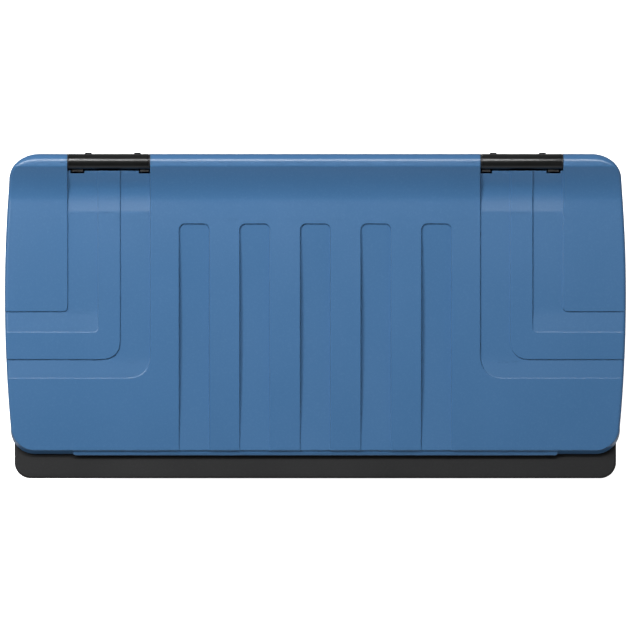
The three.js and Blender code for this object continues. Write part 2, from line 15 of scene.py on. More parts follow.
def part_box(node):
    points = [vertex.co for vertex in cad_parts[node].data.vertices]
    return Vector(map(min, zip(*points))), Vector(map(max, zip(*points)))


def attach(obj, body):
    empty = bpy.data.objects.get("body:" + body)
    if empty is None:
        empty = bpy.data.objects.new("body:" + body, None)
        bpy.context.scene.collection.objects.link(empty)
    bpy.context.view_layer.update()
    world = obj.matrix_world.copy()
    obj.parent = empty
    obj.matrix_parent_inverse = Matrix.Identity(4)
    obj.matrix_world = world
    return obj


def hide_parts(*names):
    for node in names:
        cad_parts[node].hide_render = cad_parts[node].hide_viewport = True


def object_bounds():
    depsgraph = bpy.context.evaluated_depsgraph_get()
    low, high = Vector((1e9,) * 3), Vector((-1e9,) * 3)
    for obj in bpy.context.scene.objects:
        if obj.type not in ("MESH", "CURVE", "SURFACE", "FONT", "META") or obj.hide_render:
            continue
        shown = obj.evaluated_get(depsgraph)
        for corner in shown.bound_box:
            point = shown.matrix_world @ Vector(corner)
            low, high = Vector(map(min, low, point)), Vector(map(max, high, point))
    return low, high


MM = 0.001

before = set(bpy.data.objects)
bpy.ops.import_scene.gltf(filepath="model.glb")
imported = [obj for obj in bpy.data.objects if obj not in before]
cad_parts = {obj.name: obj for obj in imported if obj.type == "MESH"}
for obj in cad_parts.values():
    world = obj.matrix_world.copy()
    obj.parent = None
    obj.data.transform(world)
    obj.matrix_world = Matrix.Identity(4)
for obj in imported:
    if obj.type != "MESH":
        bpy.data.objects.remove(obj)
cad_low, cad_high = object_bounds()


# ---------- places taken from the frame, in millimetres ----------
def box_mm(node):
    """The lowest and highest corner of a CAD node."""
    low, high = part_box(node)
    return np.array(low) / MM, np.array(high) / MM


LID_LOW, LID_HIGH = box_mm("lid")
TUB_LOW, TUB_HIGH = box_mm("tub")
TUBE_LOW, TUBE_HIGH = box_mm("hinge_tube_right")
AXIS_Y = (TUBE_LOW[1] + TUBE_HIGH[1]) / 2
AXIS_Z = (TUBE_LOW[2] + TUBE_HIGH[2]) / 2
ROLL = (TUBE_HIGH[2] - TUBE_LOW[2]) / 2

# ---------- driving dimensions of the lid, in millimetres ----------
SKIN = 4.0
LID_TOP, LID_FOOT = LID_HIGH[2], LID_LOW[2]
LID_FRONT, LID_REAR = -261.0, LID_HIGH[1]
# The lid's sides are bowed, and stand out most at BOW_Y.
BOW_RADIUS, BOW_Y, BOW_POINTS = 2813.0, 36.0, 56
FRONT_CORNER, REAR_CORNER = 46.5, (58.0, 50.0)
# The panel falls from the crown to the front by the drop. Behind the crown it rises to the ridge.
CROWN_Y, CROWN_Z, CROWN_DROP = 223.0, 430.0, 22.0
RIDGE_Y, RIDGE_POWER, CREASE = 288.0, 1.6, 1.5
# The rear edge is an open roll between these corners, and a skirt down to the foot past them.
CORNER_WRAP, WEB_EDGE = 528.0, 0.8
# Rounding of the lid's edge along the front and along the sides.
EDGE_FRONT, EDGE_SIDE, EDGE_LEAST = 2.0, 6.0, 2.0
EDGE_ANGLES = (0, 9, 18, 28, 39, 51, 64, 77, 90)
# How far the front skirt leans out at its foot, and how the foot's edges are rounded.
FLARE, FOOT_EDGE = 6.5, 1.2
RIB = {"count": 5, "pitch": 117.0, "half": 29.5, "rear": 177.5, "corner": 12.0}
# Depth of a rib's floor under the panel at its ends, and how far the floor sags between them.
RIB_DEPTH = {"rear": 4.0, "front": 1.5, "sag": 2.6}
# Depth of a channel, and the share of it that is left along its front edge.
CHANNEL_DEPTH, CHANNEL_FRONT = 3.5, 0.14
CHANNELS = (
    {"outer": 478.5, "inner": 419.5, "rear": 8.0, "front": -32.5, "tight": 10.0, "wide": 10.0},
    {"outer": 377.0, "inner": 318.3, "rear": -84.5, "front": -121.5, "tight": 38.0, "wide": 48.0},
)
POCKET = {
    "outer": 478.5, "inner": 318.3, "front": 201.5,
    "floor_end": 279.3, "notch": 281.0, "slot_end": 274.3,
}
# Places along Y on a pocket's floor, and their height over its front edge.
POCKET_FLOOR = (
    (201.5, 0), (212, -0.8), (224, -1.5), (235, -1.2), (246, 1.4),
    (256, 6.2), (264, 11.4), (272, 17), (281, 23),
)
STRAP_SLOTS = ((445.5, 472.8), (318.3, 341.0))
# Across the wall of a recess: the rounded top edge, the leaning wall and the fillet at its foot.
WALL = {"top": 0.7, "lean": 0.5, "foot": 0.9, "support": 1.8}
# The most of a recess's depth that the rounding at its top or foot takes.
WALL_SHARE = 0.45
GRIP = {"half": 469.0, "bottom": 397.5, "top": 403.0, "corner": 6.0, "edge": 1.6, "droop": 0.55}
BOSS = {"radius": 13.0, "length": 12.0, "bore": 8.3, "edge": 1.0}
# Lines that leave the lid end this far past its edge, or at this X.
PAST, ACROSS = 20.0, 620.0
# Where the points between the lid's lines start and stop along X, their steps along X and Y, and their
# least distance from a line.
GRID_X = (-594, 600)
PANEL_STEPS, SLOPE_STEPS, FLOOR_STEPS = (12, 10), (10, 4), (7, 3)
CLEAR = 2.5

# ---------- driving dimensions of the tub, in millimetres ----------
TUB_WALL = 5.0
RIM_TOP, RIM_FOOT, RIM_EDGE, RIM_CORNER, RIM_FLAT = 385.0, 355.0, 3.6, 31.0, 3.0
BODY_TOP = {"x": 548.0, "front": -281.0, "rear": TUB_HIGH[1]}
BODY_FOOT = {"x": 518.0, "front": -253.0, "rear": 284.0}
BODY_CORNER, BODY_EDGE = 60.0, 8.0
FOOT_HEIGHT, FLOOR_TOP, FLOOR_FILLET = 12.0, 20.0, 16.0
MOUTH = {
    "x": 520.0, "front": -235.0, "rear": TUB_HIGH[1] - 0.05,
    "corner": 45.0, "below_panel": 13.5, "edge": 1.6,
}
# Sections given as (across, up): the hanging lip's lower edge, and the foot of the edge round the mouth.
RIM_BEVEL = ((0.0, 1.5), (0.5, 0.4), (1.5, 0.0))
COAMING_FOOT = ((-2.5, 0.0), (-0.8, 0.7), (0.0, 2.5))
FOOT = {"x": 420.0, "ys": (-185.0, 215.0), "length": 130.0, "width": 60.0, "corner": 14.0, "edge": 2.0}
DRAIN = {"x": 300.0, "ys": (-185.0, 215.0), "radius": 6.0}
SWAGE = {"depth": 5.0, "low": 55.0, "high": 320.0, "corner": 12.0}
SWAGE_WALL = {"top": 2.0, "lean": 0.8, "foot": 2.4, "support": 2.5}
SWAGE_SIDE = {"half": 55.0, "ys": (-110.0, 130.0)}
WALL_STEP, FLOOR_STEP = 22, 40
# The seal's section: two beads with a groove between them, given as (across, up) for its first half.
SEAL_WIDTH, SEAL_OVERHANG, SEAL_LIFT = 8.0, 1.5, 0.3
SEAL_HALF = [(0.0, 0.0), (0.0, 2.6), (0.5, 4.0), (1.6, 4.8), (2.6, 4.6), (3.4, 3.6), (4.0, 3.2)]

# ---------- driving dimensions of the hinges, in millimetres ----------
TUBE = {"bore": 6.3, "edge": 0.5}
# A bush's flange reaches the end of its tube, and its radius is a little under the roll's.
BUSH = {"bore": 6.3, "sleeve": 8.0, "flange": 1.5, "reach": 0.8, "under_roll": 0.1, "edge": 0.35}
PIN = {
    "radius": 6.0, "tip": 5.0, "bevel": 1.0, "groove": 4.8, "groove_half": 0.8,
    "head": 9.0, "head_length": 5.0, "head_bevel": 1.4,
}
CLIP = {"inner": 5.1, "outer": 9.5, "mouth": 35, "edge": 0.25}
BOLT = {
    "head": 5.1, "tuck": 0.5, "shank": 4.0, "plain": 16.0,
    "pitch": 1.25, "root": 3.35, "crest": 3.95, "end": 3.3,
}
# A hexagon's width over its flats, the share of it that the round face takes, and the chamfer in degrees.
HEXAGON = {"flats": 13.0, "face": 0.97, "chamfer": 30}
NUT_BORE, NUT_BEVEL = 4.3, 0.6
WASHER = {"bore": 4.5, "radius": 8.0}
# A solid turned piece starts this close to its axis.
CORE = 0.05
TURNED_EDGE = 0.3

# ---------- how meshes are made ----------
# A rounded edge with one point between its ends has it at this share of its size.
MIDWAY = 0.3
# A rounded corner takes the length of an edge beside it divided by this, at most.
EDGE_PARTS = 2.2
# Vertices this close become one, in millimetres.
WELD = 0.02


# ---------- lines in the plan ----------
def spaced(a, b, step):
    """Points from a to b, about step apart."""
    a, b = np.array(a, float), np.array(b, float)
    count = max(1, math.ceil(np.linalg.norm(b - a) / step))
    return a + (b - a) * np.linspace(0, 1, count + 1)[:, None]


def arc(centre, radii, start, end, step=6.0):
    """An elliptical arc from start to end, in degrees."""
    angles = np.radians(np.linspace(start, end, max(2, math.ceil(abs(end - start) / step) + 1)))
    return np.array(centre) + np.array(radii) * np.stack([np.cos(angles), np.sin(angles)], 1)


def bend(start, corner, end, count=14):
    """A quadratic curve from start to end, drawn towards corner."""
    t = np.linspace(0, 1, count)[:, None]
    a, b, c = (np.array(p, float) for p in (start, corner, end))
    return a * (1 - t) ** 2 + b * 2 * t * (1 - t) + c * t**2


def chain(*parts):
    """Joins stretches of a line, without the points that two of them share."""
    line = np.concatenate(parts)
    apart = np.linalg.norm(np.diff(line, axis=0), axis=1) > 1e-6
    return line[np.concatenate([[True], apart])]


def loop(line):
    """The line with its first point once more at its end."""
    return np.concatenate([line, line[:1]])


def mirrored(line):
    """The line on the other side of the middle, drawn the other way."""
    return line[::-1] * (-1, 1)


def left_normals(line, closed=False):
    """A unit vector to the left of the line at each of its points."""
    if closed:
        tangent = np.roll(line, -1, 0) - np.roll(line, 1, 0)
    else:
        tangent = np.gradient(line, axis=0)
    normal = np.stack([-tangent[:, 1], tangent[:, 0]], 1)
    return normal / np.linalg.norm(normal, axis=1, keepdims=True)


def offset(line, distance, closed=False):
    """The line moved to its left."""
    return line + left_normals(line, closed) * np.reshape(distance, (-1, 1))


def side_of(points, line, closed=False):
    """Signed distance of each point from a line, positive on its left, and the nearest place along it."""
    ends = loop(line) if closed else line
    a, ab = ends[:-1], np.diff(ends, axis=0)
    gap = np.full(len(points), np.inf)
    side, along = np.zeros(len(points)), np.zeros(len(points))
    for i in range(len(a)):
        rel = points - a[i]
        share = np.clip(rel @ ab[i] / (ab[i] @ ab[i]), 0, 1)
        away = np.linalg.norm(rel - share[:, None] * ab[i], axis=1)
        near = away < gap - 1e-9
        gap[near] = away[near]
        side[near] = np.sign(ab[i][0] * rel[near, 1] - ab[i][1] * rel[near, 0])
        along[near] = i + share[near]
    return gap * np.where(side < 0, -1, 1), along


def inside_of(points, line, closed=False):
    """How far each point is on the left of a line."""
    return side_of(points, line, closed)[0]


def rounded_rectangle(x0, x1, y0, y1, corner, step=12.0):
    """A rounded rectangle in the plan, anticlockwise."""
    left, right, front, rear = x0 + corner, x1 - corner, y0 + corner, y1 - corner
    centres = ((right, front, -90), (right, rear, 0), (left, rear, 90), (left, front, 180))
    return chain(*(arc((x, y), (corner, corner), start, start + 90, step) for x, y, start in centres))


def lattice(xs, ys):
    """Every point with an X of xs and a Y of ys."""
    return np.stack(np.meshgrid(xs, ys), -1).reshape(-1, 2)


def raised(plan, height):
    """The points of a plan at a height, or each at its own."""
    return np.column_stack([plan, np.broadcast_to(height, len(plan))])


# ---------- meshes ----------
def triangulate(lines, points, keep):
    """Triangles over the plan that follow every line. Only those whose middle passes keep are returned."""
    coords = [np.array(points, float).reshape(-1, 2)]
    edges, start = [], len(coords[0])
    for line in lines:
        coords.append(line)
        edges += [(start + i, start + i + 1) for i in range(len(line) - 1)]
        start += len(line)
    plan = [Vector(p) for p in np.concatenate(coords)]
    verts, _, faces, *_ = delaunay_2d_cdt(plan, edges, [], 0, 1e-3, False)
    verts, faces = np.array(verts), np.array(faces)
    faces = faces[keep(verts[faces].mean(1))]
    a, b, c = verts[faces[:, 0]], verts[faces[:, 1]], verts[faces[:, 2]]
    area = (b[:, 0] - a[:, 0]) * (c[:, 1] - a[:, 1]) - (b[:, 1] - a[:, 1]) * (c[:, 0] - a[:, 0])
    faces[area < 0] = faces[area < 0][:, ::-1]
    used, faces = np.unique(faces[abs(area) > 1e-7], return_inverse=True)
    return verts[used], faces.reshape(-1, 3)


def rim_edges(faces):
    """Edges that only one face has, in that face's direction."""
    edges = np.concatenate([faces[:, [0, 1]], faces[:, [1, 2]], faces[:, [2, 0]]])
    seen = {tuple(e) for e in edges}
    return [tuple(e) for e in edges if (e[1], e[0]) not in seen]


class Shape:
    """Vertices and faces gathered from several surfaces into one mesh."""

    def __init__(self):
        self.verts, self.faces = [], []

    def add(self, verts, faces):
        """Adds a surface and returns the number of its first vertex."""
        start = len(self.verts)
        self.verts.extend(tuple(v) for v in verts)
        self.faces.extend(tuple(start + int(i) for i in f) for f in faces)
        return start

    def curtain(self, edges, column):
        """Hangs a strip from edges: column(vertex place) gives the places below it, one after another."""
        columns = {}
        for i in {i for e in edges for i in e}:
            below = column(np.array(self.verts[i]))
            start = self.add(below, [])
            columns[i] = [i, *range(start, start + len(below))]
        for a, b in edges:
            for k in range(len(columns[a]) - 1):
                self.faces.append((columns[a][k], columns[a][k + 1], columns[b][k + 1], columns[b][k]))

    def grid(self, rows, closed=False):
        """A sheet of quads through rows of points, all of one length."""
        rows = np.array(rows, float)
        count = rows.shape[1]
        start = self.add(rows.reshape(-1, 3), [])
        for i in range(len(rows) - 1):
            for j in range(count if closed else count - 1):
                k = (j + 1) % count
                a, b = start + i * count, start + (i + 1) * count
                self.faces.append((a + j, a + k, b + k, b + j))
        return start

    def cap(self, first, count, flip=False):
        """One flat face over a ring of vertices."""
        ring = range(first, first + count)
        self.faces.append(tuple(reversed(ring)) if flip else tuple(ring))


def mesh_object(name, shape, material, scale=1.0):
    """A Blender object with the shape's mesh."""
    mesh = bpy.data.meshes.new(name)
    mesh.from_pydata([tuple(np.array(v) * scale) for v in shape.verts], [], shape.faces)
    mesh.validate()
    mesh.materials.append(material)
    made = bpy.data.objects.new(name, mesh)
    bpy.context.scene.collection.objects.link(made)
    return made


def weld(mesh, distance):
    """Merges vertices in the same place."""
    work = bmesh.new()
    work.from_mesh(mesh)
    bmesh.ops.remove_doubles(work, verts=work.verts, dist=distance)
    bmesh.ops.dissolve_degenerate(work, edges=work.edges, dist=distance)
    work.to_mesh(mesh)
    work.free()


def piece(name, shape, node, body="tub_body", sharp=35.0):
    """Makes a shape into a visible piece, on its CAD body and in place of its CAD node."""
    slot = slot_of(node)
    whole = mesh_object(name, shape, FINISHES[slot], MM)
    weld(whole.data, WELD * MM)
    whole.data.shade_smooth()
    whole.data.set_sharp_from_angle(angle=math.radians(sharp))
    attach(whole, body)
    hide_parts(node)


def rounded_plate(shape, outline, low, high, edge, place=None, steps=4):
    """A flat plate with rounded edges. place, if given, turns its (a, b, height) rows into X, Y and Z."""
    angles = np.radians(np.linspace(0, 90, steps + 1))
    levels = [(edge * (1 - math.sin(a)), low + edge * (1 - math.cos(a))) for a in angles]
    levels += [(edge * (1 - math.cos(a)), high - edge * (1 - math.sin(a))) for a in angles]
    rows = [raised(offset(outline, inset, closed=True), height) for inset, height in levels]
    if place:
        rows = [place(row) for row in rows]
    count = len(outline)
    start = shape.grid(rows, closed=True)
    shape.cap(start, count, flip=True)
    shape.cap(start + (len(rows) - 1) * count, count)


def turned(shape, profile, centre, along, count=48):
    """Turns a closed profile of (distance along the axis, radius) about an axis along X or Y."""
    angles = np.radians(np.linspace(0, 360, count, endpoint=False))
    rows = []
    for t, radius in loop(profile):
        u, v = radius * np.cos(angles), radius * np.sin(angles)
        flat = np.full(count, t)
        if along == "X":
            rows.append(np.column_stack([flat, centre[0] + u, centre[1] + v]))
        else:
            rows.append(np.column_stack([centre[0] + v, flat, centre[1] + u]))
    shape.grid(rows, closed=True)


def eased(points, radius, steps=3):
    """A closed profile with each corner rounded, by less where two corners share a short edge."""
    p = np.array(points, float)
    line = []
    for i in range(len(p)):
        before, corner, after = p[i - 1], p[i], p[(i + 1) % len(p)]
        back, on = np.linalg.norm(before - corner), np.linalg.norm(after - corner)
        reach = min(radius, back / EDGE_PARTS, on / EDGE_PARTS)
        a = corner + (before - corner) / back * reach
        b = corner + (after - corner) / on * reach
        line.extend(bend(a, corner, b, steps + 1))
    return np.array(line)


# ---------- the lid ----------
def panel_height(y):
    """Height of the lid's crowned panel along Y, flat behind the crown."""
    return CROWN_Z - CROWN_DROP * (np.maximum(0, CROWN_Y - y) / (CROWN_Y - LID_FRONT)) ** 2


def top_height(y):
    """Height of the lid's top along Y: the crowned panel, the slope of the ridge and the flat strip."""
    back = np.clip((y - CROWN_Y) / (RIDGE_Y - CROWN_Y), 0, 1)
    ridge = CROWN_Z + (LID_TOP - CROWN_Z) * back**RIDGE_POWER
    slope = (LID_TOP - CROWN_Z) * RIDGE_POWER / (RIDGE_Y - CROWN_Y)
    soft = np.clip(1 - abs(y - RIDGE_Y) / CREASE, 0, 1)
    return np.where(y < CROWN_Y, panel_height(y), ridge) - slope * CREASE / 4 * soft**2


def smooth_curve(points, steps=12):
    """A smooth curve through the points, as two lists."""
    p = np.array(points, float)
    p = np.concatenate([p[:1], p, p[-1:]])
    curve = []
    for i in range(1, len(p) - 2):
        t = np.linspace(0, 1, steps, endpoint=False)[:, None]
        v0, v1 = (p[i + 1] - p[i - 1]) / 2, (p[i + 2] - p[i]) / 2
        a = 2 * p[i] - 2 * p[i + 1] + v0 + v1
        b = -3 * p[i] + 3 * p[i + 1] - 2 * v0 - v1
        curve.append(a * t**3 + b * t**2 + v0 * t + p[i])
    curve = np.concatenate(curve + [p[-1:]])
    return curve[:, 0], curve[:, 1]


def pocket_height(y):
    """Height of the middle of a pocket's floor along Y, and behind it the underside of the roll."""
    floor = top_height(POCKET["front"]) + np.interp(y, *smooth_curve(POCKET_FLOOR))
    under = AXIS_Z - np.sqrt(np.maximum(0, ROLL**2 - np.maximum(0, y - AXIS_Y) ** 2))
    return np.where(y < POCKET["front"], top_height(y), np.where(y < POCKET["notch"], floor, under))


def rib_height(y):
    """Height of a rib's floor along Y."""
    front = top_height(LID_FRONT) - RIB_DEPTH["front"]
    rear = top_height(RIB["rear"]) - RIB_DEPTH["rear"]
    share = (y - LID_FRONT) / (RIB["rear"] - LID_FRONT)
    return front + (rear - front) * share - RIB_DEPTH["sag"] * np.sin(math.pi * np.clip(share, 0, 1))


def recess(inside, depth, wall=WALL):
    """How far a recess has sunk at a distance inside its edge line."""
    top = np.minimum(wall["top"], WALL_SHARE * depth)
    foot = np.minimum(wall["foot"], WALL_SHARE * depth)
    down = np.clip((inside + wall["top"]) / wall["top"], 0, 1)
    up = np.clip((wall["lean"] + wall["foot"] - inside) / wall["foot"], 0, 1)
    lean = np.clip(inside / wall["lean"], 0, 1)
    edge = top * (1 - np.sqrt(1 - down**2))
    steep = top + (depth - top - foot) * lean
    floor = depth - foot * (1 - np.sqrt(1 - up**2))
    return np.where(inside < 0, edge, np.where(inside < wall["lean"], steep, floor))


def recess_lines(line, wall=WALL, closed=False):
    """The lines that a recess's wall needs in the mesh, on both sides of its edge line."""
    top, lean, foot, support = wall["top"], wall["lean"], wall["foot"], wall["support"]
    rounding = 1 - np.cos(np.radians([90, 66, 44, 22]))
    away = [-top - support, *(-top * rounding), 0]
    away += [lean, *(lean + foot * (1 - np.sin(np.radians([68, 46, 24, 0])))), lean + foot + support]
    lines = [offset(line, distance, closed) for distance in away]
    return [loop(ring) for ring in lines] if closed else lines


def rib_middles():
    """The middle of each rib along X."""
    return [step * RIB["pitch"] / 2 for step in range(1 - RIB["count"], RIB["count"], 2)]


def rib_line(x, grow):
    """The edge of one rib in the plan, open at the front, with the rib on its left."""
    half, rear, corner = RIB["half"] + grow, RIB["rear"] + grow, RIB["corner"] + grow
    right, left = x + half - corner, x - half + corner
    return chain(
        spaced((x + half, LID_FRONT - PAST), (x + half, rear - corner), 9),
        arc((right, rear - corner), (corner, corner), 0, 90),
        spaced((right, rear), (left, rear), 9),
        arc((left, rear - corner), (corner, corner), 90, 180),
        spaced((x - half, rear - corner), (x - half, LID_FRONT - PAST), 9),
    )


def channel_edge(x, y, corner, rear):
    """One edge of a left channel: from the rear along X = x, round a corner and out along Y = y."""
    return chain(
        spaced((-x, rear), (-x, y + corner), 6),
        bend((-x, y + corner), (-x, y), (-x - corner, y)),
        spaced((-x - corner, y), (-ACROSS - PAST, y), 9),
    )


def channel_lines(sign):
    """The edges of the channels on one side of the lid, each with its channel on its left."""
    past_lid, past_notch = LID_REAR + PAST, POCKET["notch"] + 5
    lines = []
    for c, outer_rear, inner_rear in zip(CHANNELS, (past_lid, past_notch), (past_notch, past_lid)):
        outer = channel_edge(c["outer"], c["rear"], c["tight"], outer_rear)
        inner = channel_edge(c["inner"], c["front"], c["wide"], inner_rear)[::-1]
        lines += [line if sign < 0 else mirrored(line) for line in (outer, inner)]
    return lines


def lid_outline(inset=0.0):
    """The outline of the lid, anticlockwise, and how far its edge is rounded at each point."""
    bow_x = LID_HIGH[0] - BOW_RADIUS
    rx, ry = REAR_CORNER
    front_turn = math.asin((LID_FRONT + FRONT_CORNER - BOW_Y) / BOW_RADIUS)
    rear_turn = math.asin((LID_REAR - ry - BOW_Y) / BOW_RADIUS)
    turn = np.linspace(front_turn, rear_turn, BOW_POINTS)
    bow = np.column_stack([bow_x + BOW_RADIUS * np.cos(turn), BOW_Y + BOW_RADIUS * np.sin(turn)])
    front_x, rear_x = bow[0][0] - FRONT_CORNER, bow[-1][0] - rx
    half = chain(
        spaced((0, LID_FRONT), (front_x, LID_FRONT), 8),
        arc((front_x, LID_FRONT + FRONT_CORNER), (FRONT_CORNER, FRONT_CORNER), -90, 0, 4),
        bow,
        arc((rear_x, LID_REAR - ry), (rx, ry), 0, 90, 4),
        spaced((rear_x, LID_REAR), (CORNER_WRAP, LID_REAR), 4),
        spaced((CORNER_WRAP, LID_REAR), (0, LID_REAR), 8),
    )
    line = np.concatenate([half, mirrored(half)[1:-1]])
    rounding = np.interp(line[:, 1], (LID_FRONT, LID_FRONT + FRONT_CORNER), (EDGE_FRONT, EDGE_SIDE))
    rear_share = np.clip((line[:, 1] - (LID_REAR - ry)) / ry, 0, 1)
    rounding = rounding + (ROLL - rounding) * rear_share**3
    return offset(line, inset, closed=True), rounding


def flare(y):
    """How far the skirt's foot leans out along Y: most at the front, and nothing past the corners."""
    return FLARE * np.clip((LID_FRONT + FRONT_CORNER - y) / FRONT_CORNER, 0, 1)


class LidPlan:
    """The plan of the lid's skin. With grow it is the underside, where each recess is wider by the skin."""

    def __init__(self, grow):
        self.grow = grow
        self.outline, rounding = lid_outline(grow)
        self.rounding = np.maximum(rounding - grow, EDGE_LEAST)
        self.normals = left_normals(self.outline, closed=True)
        self.ribs = [rib_line(x, grow) for x in rib_middles()]
        self.channels = [offset(line, -grow) for sign in (-1, 1) for line in channel_lines(sign)]
        self.inner, self.outer = POCKET["inner"] - grow, POCKET["outer"] + grow

    def insides(self, xy):
        """How far each point is inside its rib, each pair of channels and its pocket."""
        rib = np.max([inside_of(xy, line) for line in self.ribs], axis=0)
        edges = [inside_of(xy, line) for line in self.channels]
        channels = [np.minimum(outer, inner) for outer, inner in zip(edges[::2], edges[1::2])]
        x = abs(xy[:, 0])
        return rib, channels, np.minimum(self.outer - x, x - self.inner)

    def heights(self, xy):
        """Height of the skin at each point of the plan."""
        y = xy[:, 1]
        base = top_height(y)
        rib, channels, pocket = self.insides(xy)
        under = np.where(y > POCKET["front"], base - pocket_height(y), 0)
        z = base - recess(pocket, np.maximum(0, under)) * (pocket > -WALL["top"])
        z = z - np.where(pocket > 0, np.minimum(0, under), 0)
        for channel, c in zip(channels, CHANNELS * 2):
            share = np.clip((y - c["front"]) / (c["rear"] - c["front"]), 0, 1)
            depth = CHANNEL_DEPTH * (CHANNEL_FRONT + (1 - CHANNEL_FRONT) * share)
            z = z - recess(channel, depth) * (y < POCKET["notch"])
        z = z - recess(rib, np.maximum(base - rib_height(y), 0.02)) * (y < RIB["rear"] + PAST)
        inset, along = side_of(xy, self.outline, closed=True)
        radius = np.interp(along, range(len(self.rounding) + 1), loop(self.rounding))
        out = np.clip((radius - inset) / radius, 0, 1)
        return z - self.grow - radius * (1 - np.sqrt(1 - out**2))

    def keep(self, xy):
        """Whether each point is on the skin, and not in a hinge's notch."""
        grow = self.grow
        x, y = abs(xy[:, 0]), xy[:, 1]
        pocket = np.minimum(self.outer - x, x - self.inner) > WALL["lean"]
        notch = pocket & (y > POCKET["floor_end"])
        for a, b in STRAP_SLOTS:
            notch |= pocket & (x > a - grow) & (x < b + grow) & (y > POCKET["slot_end"] - grow)
        kept = (inside_of(xy, self.outline, closed=True) > 1e-6) & ~notch
        if grow:
            kept &= (y < AXIS_Y) | (x > CORNER_WRAP + grow)
        return kept

    def lines(self):
        """Every line that the mesh follows."""
        insets = [self.rounding * (1 - math.cos(math.radians(angle))) for angle in EDGE_ANGLES]
        insets.append(self.rounding + CLEAR)
        lines = [loop(offset(self.outline, inset, closed=True)) for inset in insets]
        for line in self.ribs + self.channels:
            lines += recess_lines(line)
        for y in (CROWN_Y, *(RIDGE_Y + step * CREASE for step in (-2, -1, 0, 1, 2))):
            lines.append(spaced((-ACROSS, y), (ACROSS, y), 12))
        for sign in (-1, 1):
            for y in (POCKET["front"], POCKET["front"] + 1, POCKET["floor_end"]):
                lines.append(spaced((sign * self.inner, y), (sign * self.outer, y), 6))
            lines += [self.slot_line(sign, a, b) for a, b in STRAP_SLOTS]
        if self.grow:
            x = CORNER_WRAP + self.grow
            lines.append(spaced((-x, AXIS_Y), (x, AXIS_Y), 8))
            lines += [spaced((sign * x, AXIS_Y), (sign * x, LID_REAR), 3) for sign in (-1, 1)]
        return lines

    def slot_line(self, sign, a, b):
        """The edge of the slot in a pocket's floor that one strap of the hinge passes through."""
        a, b = sign * max(a - self.grow, self.inner), sign * min(b + self.grow, self.outer)
        front, rear = POCKET["slot_end"] - self.grow, POCKET["floor_end"]
        return chain(
            spaced((a, rear), (a, front), 3),
            spaced((a, front), (b, front), 6),
            spaced((b, front), (b, rear), 3),
        )

    def points(self):
        """Points between the lines, closer where the skin is curved."""
        dx, dy = PANEL_STEPS
        panel = lattice(np.arange(*GRID_X, dx), np.arange(LID_FRONT + 8, CROWN_Y - 4, dy))
        dx, dy = SLOPE_STEPS
        slope = lattice(np.arange(*GRID_X, dx), np.arange(CROWN_Y + 4, RIDGE_Y - 4, dy))
        xy = np.concatenate([panel, slope])
        x, y = abs(xy[:, 0]), xy[:, 1]
        xy = xy[~((x > self.inner) & (x < self.outer) & (y > POCKET["front"]))]
        dx, dy = FLOOR_STEPS
        ys = np.arange(POCKET["front"] + 4, POCKET["floor_end"] - 1, dy)
        floor = lattice(np.arange(self.inner + 4, self.outer - 3, dx), ys)
        xy = np.concatenate([xy, floor * (-1, 1), floor])
        y = xy[:, 1]
        rib, channels, pocket = self.insides(xy)
        inset, along = side_of(xy, self.outline, closed=True)
        room = WALL["top"] + WALL["support"] + CLEAR
        deep = WALL["lean"] + WALL["foot"] + WALL["support"] + CLEAR
        near = inset < np.interp(along, range(len(self.rounding)), self.rounding) + 2 * CLEAR
        near |= abs(y - RIDGE_Y) < 2 * CLEAR
        for inside in (rib, *channels):
            near |= (inside > -room) & (inside < deep)
        near |= (y > POCKET["front"]) & (pocket > -room) & (pocket < deep)
        return xy[~near]

    def skirt(self, place):
        """The places under one point of the edge, down the skirt to its foot."""
        at = side_of(place[None, :2], self.outline, closed=True)[1][0]
        normal = self.normals[int(round(at)) % len(self.normals)]
        away = -1 if self.grow else 1
        low = LID_FOOT + FOOT_EDGE
        mid = FOOT_EDGE * MIDWAY
        levels = [(0, place[2] + (low - place[2]) * share, share) for share in (0.25, 0.5, 0.75, 1.0)]
        levels += [(mid, LID_FOOT + mid, 1.0), (FOOT_EDGE, LID_FOOT, 1.0)]
        out = flare(place[1])
        return [(*(place[:2] + normal * (away * inward - out * share)), z) for inward, z, share in levels]

    def roll(self, place):
        """The places round the roll behind one point of the edge."""
        radius = ROLL - self.grow
        angles = np.radians(np.arange(80 if self.grow else -10, -91, -10))
        return [(place[0], AXIS_Y + radius * math.cos(a), AXIS_Z + radius * math.sin(a)) for a in angles]

    def hang_edges(self, shape, edges):
        """Carries on the skin's free edges: skirts to the foot, the roll at the back, the pocket's lips."""
        skirts, rolls, lips = [], [], []
        middles = np.array([(np.array(shape.verts[a]) + np.array(shape.verts[b])) / 2 for a, b in edges])
        insets = inside_of(middles[:, :2], self.outline, closed=True)
        wrap = CORNER_WRAP + self.grow
        for edge, middle, inset in zip(edges, middles, insets):
            x, y = abs(middle[0]), middle[1]
            on_outline = abs(inset) < 0.05
            if on_outline and (x > wrap or y < 0):
                skirts.append(edge)
            elif (on_outline or abs(y - AXIS_Y) < 0.05) and x < wrap and y > RIDGE_Y:
                rolls.append(edge)
            elif not self.grow and POCKET["slot_end"] - 1 < y < POCKET["notch"]:
                lips.append(edge)
        shape.curtain(skirts, self.skirt)
        shape.curtain(rolls, self.roll)
        shape.curtain(lips, lambda place: [place - (0, 0, SKIN)])


